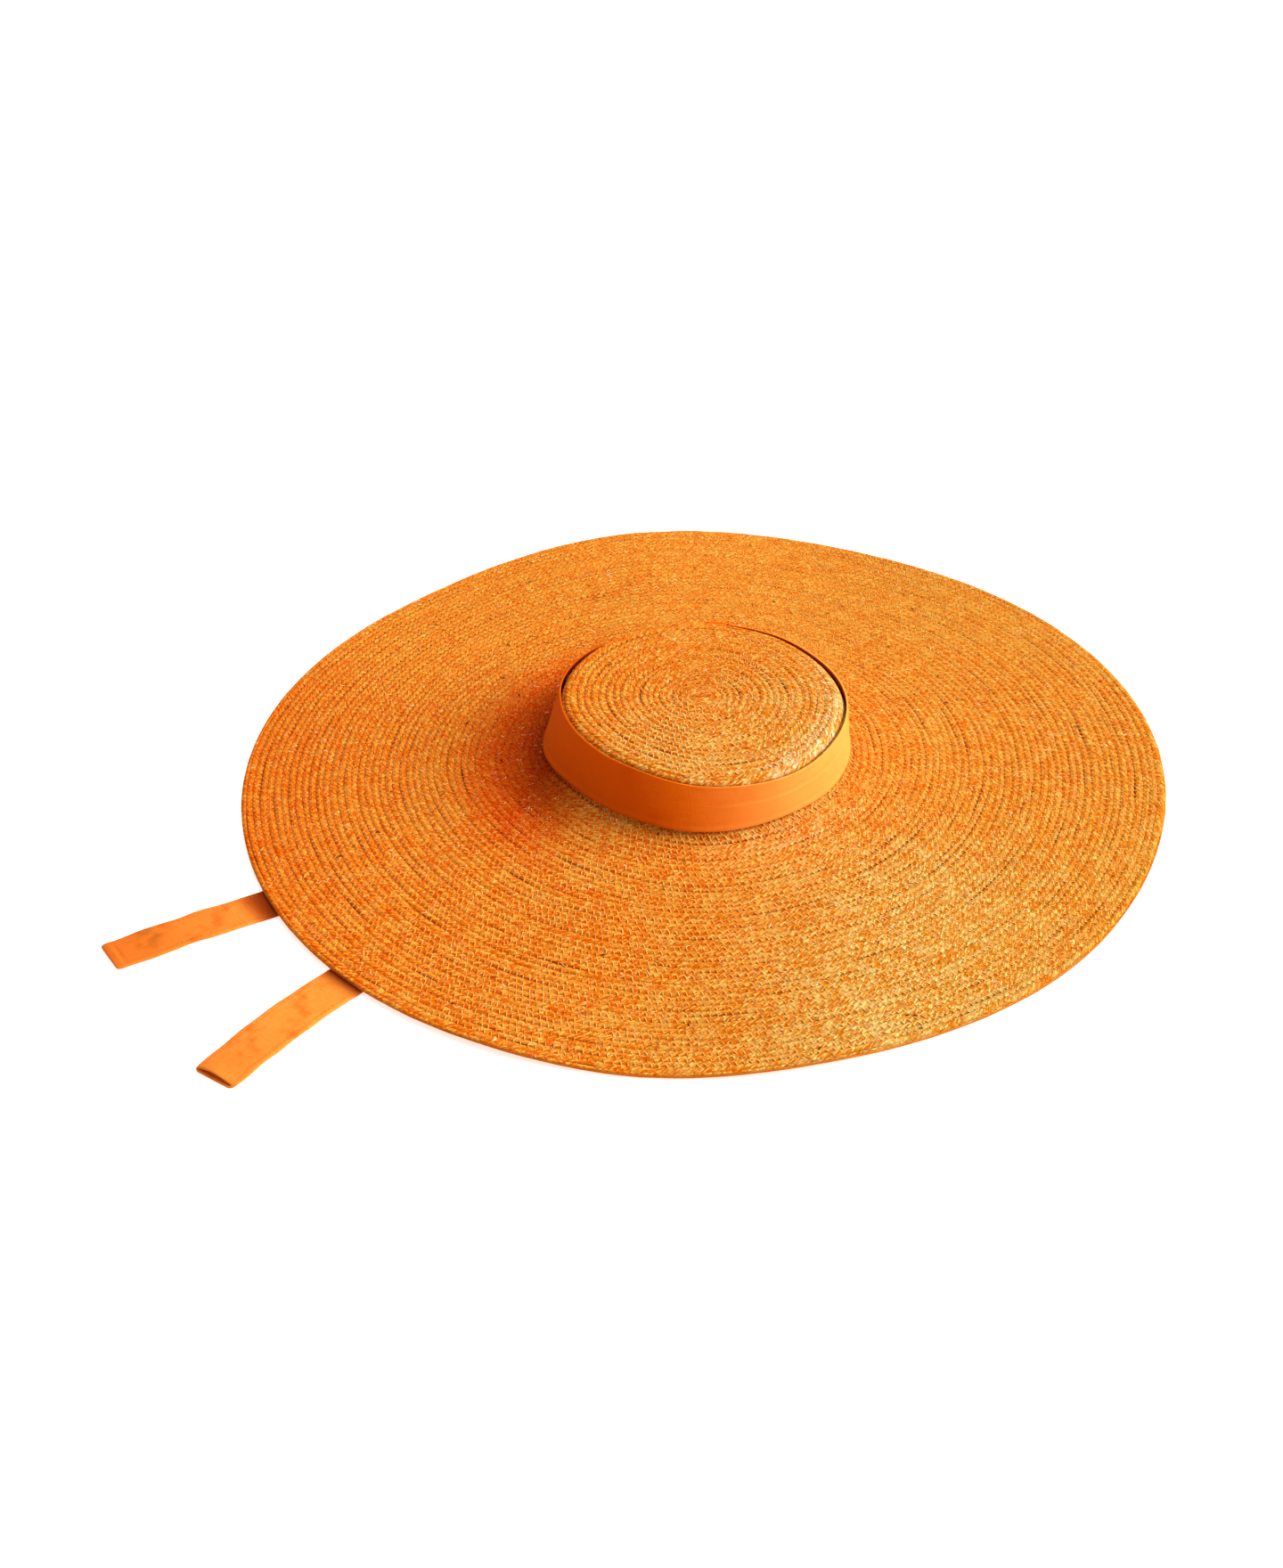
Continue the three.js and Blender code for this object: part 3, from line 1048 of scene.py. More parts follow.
@dataclass(frozen=True)
class FibreFinish:
    """Loose fibres, each one shade of the dyed jute from pale to deep."""

    name: str
    tones: tuple[str, ...] = ("FCCB84", "F4A444", "E88820", "D05400", "C04800")
    between: float = 0.08  # half the spread of chance over which one tone gives way to the next
    relief: float = 0.06

    def material(self) -> bpy.types.Material:
        """Builds the finish.

        Returns:
            The material.
        """
        look = Look(self.name)
        along, number, _ = look.pattern()
        draw = look.node("TexWhiteNoise", {"Vector": look.point(number, 0.5)}, noise_dimensions="3D")
        base = colour(self.tones[0])
        for step, tone in enumerate(self.tones[1:], 1):
            start = step / len(self.tones)
            share = look.ease(draw.outputs["Value"], start - self.between, start + self.between)
            base = look.mix(share, base, colour(tone))
        base = THREAD_DYE_AND_LIGHT.with_painted_light(look, base)
        grain = look.noise(look.point(look.math("MULTIPLY", along, 4.0), number), 1.0)
        look.raise_surface(grain, self.relief)
        return look.finish(base, 0.9, 0.05)


class Weave(Enum):
    """How the linen of a piece was made up."""

    BAND = "band"
    TIE = "tie"


@dataclass(frozen=True)
class LinenFinish:
    """Plain-woven linen: warp and weft, slubs, darker and soiled patches, and painted light and shade."""

    name: str
    made_up: Weave
    light: str
    middle: str
    deep: str
    to_light: tuple[float, float] = (0.38, 0.62)
    deepest: tuple[float, float] = (0.5, 0.68)
    deep_share: float = 0.75
    # Painted highlight: paler toward the key lamp's side.
    lit_side_paling: Tint = Tint("F0A44E", 0.65, 0.0, 0.08)
    # Painted shade: darker on the band's far side and on its inner face inside the fold.
    shaded_far_side: Tint = Tint("C44C00", 0.85, 0.0, -0.05)
    shade_inside_fold: Tint = Tint("8C2400", 0.85, 34.2, 35.5)
    free_end: Tint = Tint("C44C00", 0.3, 0.33, 0.395)
    left_tie: Tint = Tint("C44C00", 0.42, -0.22, -0.36)
    left_tie_side: tuple[float, float] = (-0.19, -0.165)
    soiled: Tint = Tint("94560A", 0.5, 0.018, 0.0)
    soiled_place: tuple[float, float] = (-0.335, -0.148)
    # Painted shadow of the brim over the ties near their sewn ends.
    brim_shadow: Tint = Tint("8C2400", 0.85, 0.322, 0.307)
    thread: float = 0.62
    relief: float = 0.1

    def band_shaded(self, look: Look, base: Socket, across: Socket) -> Socket:
        """Paints shade on the band's far side and on its inner face inside the fold."""
        base = look.tint(base, self.shaded_far_side, look.place()["X"])
        return look.tint(base, self.shade_inside_fold, across)

    def tie_soiled_and_shaded(self, look: Look, base: Socket, along: Socket, across: Socket) -> Socket:
        """Keeps a tie's dye deep at its free end, soils it a little, and paints the brim's shadow over it near
        the brim.

        Args:
            look: the material that it belongs to.
            base: the colour so far.
            along: length along the tie.
            across: distance from the tie's middle line.

        Returns:
            The colour.
        """
        x, y, _ = look.place()
        base = look.tint(base, self.free_end, look.reach())
        base = look.tint(base, self.left_tie, x, look.ease(y, *self.left_tie_side))
        cloudy = look.ease(look.noise(look.point(along, across, 3.0), 0.1, 1.0), 0.3, 0.62)
        base = look.tint(base, self.soiled, look.reach(*self.soiled_place), cloudy)
        return look.tint(base, self.brim_shadow, look.math("ADD", look.reach(), look.toward(0, -0.1)))

    def material(self) -> bpy.types.Material:
        """Builds the finish.

        Returns:
            The material.
        """
        look = Look(self.name)
        along, across, _ = look.pattern()
        turns = TAU / self.thread
        warp = look.math("SINE", look.math("MULTIPLY", across, turns))
        weft = look.math("SINE", look.math("MULTIPLY", along, turns))
        cloth = look.math("MULTIPLY", warp, weft)
        lengthways = look.point(look.math("MULTIPLY", along, 0.09), look.math("MULTIPLY", across, 1.5))
        crossways = look.point(look.math("MULTIPLY", along, 1.5), look.math("MULTIPLY", across, 0.12))
        both = look.math("ADD", look.noise(lengthways, 1.0), look.noise(crossways, 1.0))
        slubs = look.math("MULTIPLY", both, 0.5)
        patch_size = 0.05 if self.made_up is Weave.TIE else 0.02
        patches = look.noise(look.point(along, across), patch_size, 3.0, 0.6)
        base = look.mix(look.ease(slubs, *self.to_light), colour(self.middle), colour(self.light))
        base = look.tint(base, Tint(self.deep, self.deep_share, *self.deepest), patches)
        base = look.tint(base, self.lit_side_paling, look.toward(*STRAW_DYE_AND_LIGHT.lamp_heading))
        if self.made_up is Weave.BAND:
            base = self.band_shaded(look, base, across)
        else:
            base = self.tie_soiled_and_shaded(look, base, along, across)
        height = look.math("MULTIPLY_ADD", slubs, 1.2, look.math("MULTIPLY", cloth, 0.3))
        look.raise_surface(height, self.relief)
        return look.finish(base, 0.95, 0.05)


@dataclass(frozen=True)
class FloorFinish:
    """A plain pale floor, softly lit from beneath as a studio's light table is."""

    name: str = "pale_floor"
    tone: str = "F4F4F4"
    glow: float = 0.65

    def material(self) -> bpy.types.Material:
        """Builds the finish.

        Returns:
            The material.
        """
        look = Look(self.name)
        look.shader.inputs["Emission Color"].default_value = (1, 1, 1, 1)
        look.shader.inputs["Emission Strength"].default_value = self.glow
        return look.finish(colour(self.tone), 0.9, 0.2)


# ---- straw ----


@dataclass
class Braid:
    """The sewn braid: one flat plait with a rounded top, uneven as handwork is."""

    spiral: Spiral
    stitch: float = 4.4  # length of braid taken up by one stitch of the seam
    hooked: float = 0.05  # where in a stitch the outer edge stands highest, as a share of it
    pulled: float = 0.16  # how deep the seam pulls the outer edge in
    overlap: float = 1.14  # the braid's width as a share of the space between rounds
    # The section, over its rounded top and back under its flat foot, which laps the next round's.
    across: tuple[float, ...] = (-1, -0.82, -0.42, 0, 0.42, 0.82, 1, 1.16, -1.16)
    rise: tuple[float, ...] = (0.55, 0.97, 1.13, 1.2, 1.13, 0.97, 0.55, -0.75, -1.15)
    half_width: float = 2.25
    sewn_edge: tuple[float, float] = (0.3, 0.9)  # where across the braid the seam's pull sets in
    parting_gap: float = 0.15  # how far a parted joint draws back, as a share of half the width
    parting_depth: float = 0.3
    slit_gap: float = 0.2
    slit_depth: float = 0.6
    shifting: float = 0.08
    widening: float = 0.05
    tilting: float = 0.2
    lifting: float = 0.16
    puffing: float = 0.1
    rolled_under: float = 1.0  # how far the last half round turns down over the edge
    slip: Wander = field(default_factory=lambda: Wander(17, 95))
    slip_length: float = 1.9  # how far the stitching gains or loses on the braid
    shift: Wander = field(default_factory=lambda: Wander(11, 34))
    widen: Wander = field(default_factory=lambda: Wander(12, 21))
    parting: Wander = field(default_factory=lambda: Wander(16, 26))
    tilt: Wander = field(default_factory=lambda: Wander(13, 27))
    lift: Wander = field(default_factory=lambda: Wander(14, 13))
    puff: Wander = field(default_factory=lambda: Wander(15, 2.6))

    def __post_init__(self) -> None:
        """Finds where the parted seams fall along the braid."""
        turns = [self.spiral.turn_near(math.radians(azimuth), rounds) for azimuth, rounds, _ in PARTED_SEAMS]
        self.slits = [(self.spiral.length(turn), row[2]) for turn, row in zip(turns, PARTED_SEAMS)]

    def stitches(self, length: np.ndarray) -> np.ndarray:
        """How many stitches there are in a length of braid."""
        return (length - self.slip_length * self.slip(length)) / self.stitch

    def stitched_length(self, stitches: np.ndarray) -> np.ndarray:
        """The length of braid that a number of stitches takes up."""
        even = stitches * self.stitch
        return even + self.slip_length * self.slip(even + self.slip_length * self.slip(even))

    def opening(self, length: np.ndarray) -> tuple[np.ndarray, np.ndarray]:
        """How far the joint on the outer side has parted by chance, and at the listed seams, from 0 to 1."""
        slit = sum(bell(length, middle, reach) for middle, reach in self.slits)
        return smoothstep(self.parting(length), 0.45, 0.95), np.minimum(slit, 1)

    def point(self, turns: np.ndarray, across: np.ndarray, rise: np.ndarray) -> np.ndarray:
        """Places points on the braid.

        Args:
            turns: the braid's turn at each point.
            across: -1 at the braid's inner edge and 1 at its outer edge.
            rise: height above the braid's middle thickness.

        Returns:
            The points, with x, y and z last.
        """
        length = self.spiral.length(turns)
        parted, slit = self.opening(length)
        on_top = rise > 0
        gap = (self.parting_gap * parted + self.slit_gap * slit) * (across > self.sewn_edge[0]) * on_top
        width = 0.5 * self.overlap * (1 + self.widening * self.widen(length) - gap)
        rounds = turns - 0.5 + self.shifting * self.shift(length) + width * across
        uneven = self.lifting * self.lift(length) + self.puffing * self.puff(length) * (1 - across**2)
        leaning = self.tilting * self.tilt(length) * across
        between = 0.5 - 0.5 * np.cos(TAU * (self.stitches(length) - self.hooked))
        depth = self.pulled * between + self.parting_depth * parted + self.slit_depth * slit
        sunk = depth * smoothstep(across, *self.sewn_edge) * on_top
        last = self.spiral.form.rounds
        rounds = np.minimum(rounds, last)
        turned = self.rolled_under * smoothstep(rounds, last - 0.5, last) ** 2 * on_top
        height = rise + uneven + (leaning - sunk) - turned - self.spiral.form.straw / 2
        return self.spiral.place(turns, rounds, height)

    def top(self, turns: np.ndarray, across: np.ndarray, above: float) -> np.ndarray:
        """Places points a given height above the braid's rounded top."""
        rounded = np.interp(np.abs(across), self.across[3:7], self.rise[3:7])
        return self.point(turns, across, rounded + above)

    def piece(self, name: str, first: float, last: float, material: bpy.types.Material) -> bpy.types.Object:
        """Makes the stretch of braid between two turns.

        Args:
            name: the piece's name.
            first: the turn that it starts at.
            last: the turn that it ends at.
            material: its finish.

        Returns:
            The new object.
        """
        start, end = self.spiral.length(first), self.spiral.length(last)
        count = np.arange(math.ceil(2 * self.stitches(start)), int(2 * self.stitches(end)) + 1)
        stitches = (count / 2 + self.hooked)[:, None]
        length = self.stitched_length(stitches)
        turns = self.spiral.turn_at(length)
        across, rise = np.array(self.across)[None], np.array(self.rise)[None]
        rings = self.point(turns, across, rise)
        sewn = stitches * self.stitch
        open_share = np.minimum(sum(self.opening(length)), 1)
        pattern = np.stack(np.broadcast_arrays(sewn, across * self.half_width, open_share), axis=-1)
        return swept_piece(name, rings, material, pattern)


@dataclass
class Stitching:
    """The seam that joins each round of braid to the next.

    Each stitch shows as a hook: it comes up in the joint, lies along the inner round, turns, and dives into
    the outer one. The thread's way back is under the straw.
    """

    braid: Braid
    # Each point's share of the stitch's length and of the way to the outer round, and its height.
    hook: tuple[tuple[float, float, float], ...] = (
        (0.0, 0.36, -0.25), (0.24, 0.08, 0.04), (0.52, 0.0, 0.04), (0.74, 0.27, 0.05), (1.0, 1.0, -0.22),
    )
    inner_bite: float = -0.2  # where the hook lies on the inner round, 0 being its middle and 1 its edge
    outer_bite: float = -0.15
    thread_width: float = 0.46
    thread_height: float = 0.33
    longer: float = 0.14  # how far a stitch strays from its length, its place and its two bites
    late: float = 0.09
    inner_stray: float = 0.2
    outer_stray: float = 0.13
    uneven: Wander = field(default_factory=lambda: Wander(21, 4.1))
    reach: Wander = field(default_factory=lambda: Wander(22, 5.3))
    turn_in: Wander = field(default_factory=lambda: Wander(23, 6.7))

    def seam(self, name: str, first: float, last: float, material: bpy.types.Material) -> bpy.types.Object:
        """Sews the joint on the outer side of the braid between two turns.

        Args:
            name: the piece's name.
            first: the turn that the seam starts at.
            last: the turn that it ends at.
            material: the thread's finish.

        Returns:
            The new object.
        """
        spiral = self.braid.spiral
        start, end = spiral.length(first), spiral.length(last)
        number = np.arange(int(self.braid.stitches(start)), int(self.braid.stitches(end)))
        share, side, height = (np.array(column) for column in zip(*self.hook))
        sewn = number * self.braid.stitch
        stretch = 1 + self.longer * self.turn_in(sewn)[:, None]
        begun = (number + self.late * self.uneven(sewn))[:, None]
        length = self.braid.stitched_length(begun + share * stretch)
        turns = spiral.turn_at(length)
        inner_bite = self.inner_bite + self.inner_stray * self.reach(sewn)[:, None]
        outer_bite = self.outer_bite + self.outer_stray * self.reach(sewn + 7)[:, None]
        inner = self.braid.top(turns, inner_bite, height)
        outer = self.braid.top(turns + 1, outer_bite, height)
        path = lerp(inner, outer, side[:, None])
        across = outer - inner
        ahead = np.gradient(inner, axis=1)
        up = np.cross(ahead, across)
        up /= np.linalg.norm(up, axis=2, keepdims=True)
        wide = np.cross(up, np.gradient(path, axis=1))
        wide *= self.thread_width / np.linalg.norm(wide, axis=2, keepdims=True)
        rings = np.stack([path - wide, path + up * self.thread_height, path + wide], axis=2)
        beside = np.array([-0.3, 0, 0.3])
        pattern = np.stack(np.broadcast_arrays(length[..., None], beside, turns[..., None]), axis=-1)
        return swept_piece(name, rings, material, pattern)


@dataclass
class RolledEdge:
    """The turned-under edge: a firm, slightly uneven roll of jute below the last round."""

    form: HatForm
    step: float = 2.0
    points: int = 12
    strands: int = 5
    lay: float = 17  # length in which a strand goes once round the roll
    depth: float = 0.1
    half_width: float = 2.3
    half_height: float = 1.5
    lump: float = 0.08
    leaning: float = 0.15
    lumps: Wander = field(default_factory=lambda: Wander(31, 9))
    lean: Wander = field(default_factory=lambda: Wander(32, 46))

    def piece(self, material: bpy.types.Material) -> bpy.types.Object:
        """Makes the roll.

        Args:
            material: its finish.

        Returns:
            The new object.
        """
        outer = self.form.brim_radius
        count = int(TAU * outer / self.step)
        azimuth = np.linspace(0, TAU, count)[:, None]
        angle = -np.linspace(0, TAU, self.points, endpoint=False)[None]
        length = azimuth * outer
        lays = round(TAU * outer / self.lay)
        strand = self.strands * (angle + azimuth * lays) / TAU
        groove = self.depth * (1 - np.abs(np.sin(strand * math.pi)))
        slack = groove + self.lump * (1 + self.lumps(length))
        middle = outer - self.half_width - self.leaning * (1 + self.lean(length))
        out = middle + (self.half_width - slack) * np.cos(angle)
        height = self.form.edge_lift(azimuth) + self.half_height + (self.half_height - slack) * np.sin(angle)
        rings = np.stack([out * np.cos(azimuth), out * np.sin(azimuth), height], axis=-1)
        pattern = np.stack(np.broadcast_arrays(length, strand, 0.0), axis=-1)
        return swept_piece("rolled_edge", rings, material, pattern)


@dataclass
class LooseFibres:
    """Fibres that stand proud of the braid, with both ends still caught in it."""

    name: str
    braid: Braid
    count: int
    shortest: float
    longest: float
    radius: float
    lift: float
    lean: float = math.radians(38)  # the plait's slant, which most fibres follow on one side or the other
    stray: float = math.radians(16)
    seed: int = 70
    bow: tuple[float, ...] = (-0.35, 0.7, 0.75, -0.35)  # how high each point stands, as a share of the lift
    taper: tuple[float, ...] = (0.6, 1.0, 1.0, 0.6)
    curl: float = 0.12
    places: tuple[tuple[float, float], ...] = ()

    def piece(self, material: bpy.types.Material) -> bpy.types.Object:
        """Scatters the fibres, the named places first.

        Args:
            material: their finish.

        Returns:
            The new object.
        """
        spiral = self.braid.spiral
        rng = np.random.default_rng(self.seed)
        named = [spiral.turn_near(math.radians(azimuth), rounds) for azimuth, rounds in self.places]
        middle = rng.uniform(spiral.length(1.5), spiral.length(spiral.turns - 1), self.count)
        middle[: len(named)] = [spiral.length(turn) for turn in named]
        across = rng.uniform(-0.5, 0.5, self.count)
        heading = rng.choice([-1.0, 1.0], self.count) * self.lean + rng.normal(0, self.stray, self.count)
        size = rng.uniform(self.shortest, self.longest, self.count)[:, None]
        way = np.linspace(-0.5, 0.5, len(self.bow))[None] * size
        curl = rng.normal(0, self.curl, self.count)[:, None] * size * (1 - (2 * way / size) ** 2)
        along = way * np.cos(heading)[:, None] - curl * np.sin(heading)[:, None]
        aside = way * np.sin(heading)[:, None] + curl * np.cos(heading)[:, None]
        turns = spiral.turn_at(middle[:, None] + along)
        rounds = turns - 0.5 + across[:, None] + aside / (2 * self.braid.half_width)
        rise = np.array(self.bow)[None] * self.lift * rng.uniform(0.5, 1.0, self.count)[:, None]
        path = spiral.place(turns, rounds, rise)
        up = spiral.place(turns, rounds, rise + 1) - path
        ahead = np.gradient(path, axis=1)
        side = np.cross(ahead, up)
        side /= np.linalg.norm(side, axis=2, keepdims=True)
        thick = self.radius * np.array(self.taper)[None, :, None]
        rings = np.stack([path - side * thick, path + up * thick, path + side * thick], axis=2)
        number = np.arange(self.count)[:, None, None]
        pattern = np.stack(np.broadcast_arrays(way[:, :, None], number, np.zeros((1, 1, 3))), axis=-1)
        return swept_piece(self.name, rings, material, pattern)


@dataclass
class StrawBody:
    """Crown, brim and rolled edge, with the seams that hold them together."""

    form: HatForm
    crown_turns: float = 27
    splits: tuple[float, ...] = (27, 47, 60.5)
    behind_band: tuple[float, float] = (21, 26)  # the turns whose seam the band hides
    first_turn: float = 0.05  # where the braid and its seam begin, since their first turns have no width
    first_seam: float = 1.0
    run_out: float = 0.1  # how much of the last turn is left off

    def build(self) -> None:
        """Winds and sews the braid, and closes the edge with its roll."""
        spiral = Spiral(self.form)
        braid = Braid(spiral)
        stitching = Stitching(braid)
        straw = StrawFinish("dyed_jute").material()
        thread = ThreadFinish("seam_thread").material()
        end = spiral.turns - self.run_out
        crown = braid.piece("crown_braid", self.first_turn, self.crown_turns, straw)
        self.keep(crown, "straw", "crown")
        self.keep(stitching.seam("crown_stitching", self.first_seam, self.behind_band[0], thread), "straw")
        names = ("brim_braid_inner", "brim_braid_middle", "brim_braid_outer")
        for name, first, last in zip(names, self.splits, (*self.splits[1:], end)):
            self.keep(braid.piece(name, first, last, straw), "straw", "brim")
            seam_name = name.replace("braid", "stitching")
            seam_start = self.behind_band[1] if first == self.crown_turns else first
            self.keep(stitching.seam(seam_name, seam_start, min(last, end - 1), thread), "straw")
        roll = RolledEdge(self.form).piece(RollFinish("rolled_jute").material())
        self.keep(roll, "straw_edge", "brim_edge")
        self.strew(braid)

    def strew(self, braid: Braid) -> None:
        """Lays the loose strands, the fuzz and the husks on the straw.

        Args:
            braid: the braid that they are caught in.
        """
        strands = LooseFibres(
            "loose_strands", braid, count=800, shortest=2.5, longest=5.5, radius=0.28, lift=0.36
        )
        self.keep(strands.piece(FibreFinish("loose_jute").material()), "straw")
        fuzz = LooseFibres(
            "fuzz", braid, count=260, shortest=4.0, longest=9.0, radius=0.12, lift=0.7,
            stray=math.radians(40), seed=71,
        )
        pale_and_painted_light = ("F4C880", "ECB058", "E09038")
        self.keep(fuzz.piece(FibreFinish("jute_fuzz", pale_and_painted_light).material()), "straw")
        husks = LooseFibres(
            "husks", braid, count=34, shortest=1.8, longest=3.6, radius=0.5, lift=0.6,
            stray=math.radians(25), seed=72, places=HUSKS,
        )
        brown = ("4A260A", "6A3A0C", "5A4218")
        self.keep(husks.piece(FibreFinish("husk", brown).material()), "straw")

    def keep(self, piece: bpy.types.Object, slot: str, *nodes: str) -> None:
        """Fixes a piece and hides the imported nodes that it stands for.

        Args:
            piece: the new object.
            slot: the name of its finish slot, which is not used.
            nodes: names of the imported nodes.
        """
        settle_piece(piece)
        if nodes:
            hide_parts(*nodes)


# ---- linen ----


@dataclass
class HatBand:
    """The linen band: a folded strip round the crown, its ends lapped at the back."""

    form: HatForm
    start: float = math.radians(78)
    lap: float = 14
    lap_start: float = 4  # how long before the first end the upper end begins to rise over it
    lap_gap: float = 0.5
    middle_radius: float = 95  # lengths along the band are measured at this radius
    width: float = 33
    fold: float = 0.75  # radius of the folded top edge
    steps: int = 290
    outer_points: int = 25
    inner_points: int = 11
    turn_points: int = 4
    hem: float = 4.6
    hem_rise: float = 0.22  # how far the doubled hem stands out
    hem_edge: float = 0.8  # height over which its upper edge falls away
    hem_seam: float = 0.3  # how far the seam above it is drawn in
    seam_reach: float = 0.7
    crease_side: tuple[float, float] = (305, 42)  # the creases' middle and their reach, in degrees
    # Each crease's height above the foot, its reach, and how far it stands out.
    creases: tuple[tuple[float, float, float], ...] = ((20.5, 1.1, -0.4), (18.5, 1.6, 0.25))
    softness: float = 0.35
    top_wave: float = 0.3
    foot_wave: float = 0.25
    foot_gap: float = 0.4
    swaying: float = 0.3
    sway_height: tuple[float, float] = (8, 30)
    ripple: Wander = field(default_factory=lambda: Wander(41, 23))
    flare: Wander = field(default_factory=lambda: Wander(42, 31))

    def relief(self, azimuth: np.ndarray, up: np.ndarray, length: np.ndarray) -> np.ndarray:
        """How far the outer face stands out from a plain strip.

        Args:
            azimuth: azimuth of each point.
            up: height of each point above the band's foot.
            length: length along the band.

        Returns:
            The relief at each point.
        """
        hem = self.hem_rise * (1 - smoothstep(up, self.hem - self.hem_edge, self.hem))
        seam = self.hem_seam * bell(up, self.hem, self.seam_reach)
        front = bell(np.degrees(np.mod(azimuth, TAU)), *self.crease_side)
        crease = sum(out * front * bell(up, middle, reach) for middle, reach, out in self.creases)
        bulge = np.sin(np.clip(up / self.width, 0, 1) * math.pi)
        return hem - seam + crease + self.softness * self.ripple(length + 0.4 * up) * bulge

    def piece(self, material: bpy.types.Material) -> bpy.types.Object:
        """Makes the band: up its outer face, over the fold, down its inner face and round its foot.

        Args:
            material: its finish.

        Returns:
            The new object.
        """
        form = self.form
        sweep = TAU + self.lap / self.middle_radius
        azimuth = (self.start + np.linspace(0, sweep, self.steps))[:, None]
        length = (azimuth - self.start) * self.middle_radius
        top = form.band_top(azimuth) + self.top_wave * self.flare(length) - self.fold
        foot = form.band_foot + self.foot_gap + self.foot_wave * self.ripple(length * 1.3)
        half = form.band / 2
        rise = np.linspace(0, 1, self.outer_points)[None]
        back = np.linspace(1, 0, self.inner_points)[None]
        turn = np.linspace(0, math.pi, self.turn_points + 2)[None, 1:-1]
        side = (
            np.full_like(rise, half),
            self.fold * np.cos(turn),
            np.full_like(back, -half),
            -half * np.cos(turn),
        )
        share = (rise, np.ones_like(turn), back, np.zeros_like(turn))
        beyond = (np.zeros_like(rise), self.fold * np.sin(turn), np.zeros_like(back), -half * np.sin(turn))
        facing = (np.ones_like(rise), np.full_like(turn, 0.5), np.zeros_like(back), np.full_like(turn, 0.5))
        side, share, beyond, facing = (np.concatenate(run, axis=1) for run in (side, share, beyond, facing))
        height = lerp(foot, top, share) + beyond
        up = height - form.band_foot
        relief = facing * self.relief(azimuth, up, length)
        girth = TAU * self.middle_radius
        lapped = (form.band + self.lap_gap) * smoothstep(length, girth - self.lap_start, girth + 1)
        sway = self.swaying * self.flare(length * 0.7) * smoothstep(up, *self.sway_height)
        radius = form.band_radius(azimuth, height) - half + side + relief + lapped + sway
        x, y = radius * np.cos(azimuth), radius * np.sin(azimuth)
        rings = np.stack(np.broadcast_arrays(x, y, height), axis=-1)
        steps = np.hypot(np.diff(side[0]), np.diff(share[0] * self.width + beyond[0]))
        round_way = np.cumsum(np.append(0, steps))
        pattern = np.stack(np.broadcast_arrays(length, round_way[None], 0.0), axis=-1)
        return swept_piece("linen_band", rings, material, pattern)


class TieEnd(Enum):
    """How a tie's free end is finished."""

    SEWN_SHUT = "sewn shut"
    OPEN_MOUTH = "open mouth"


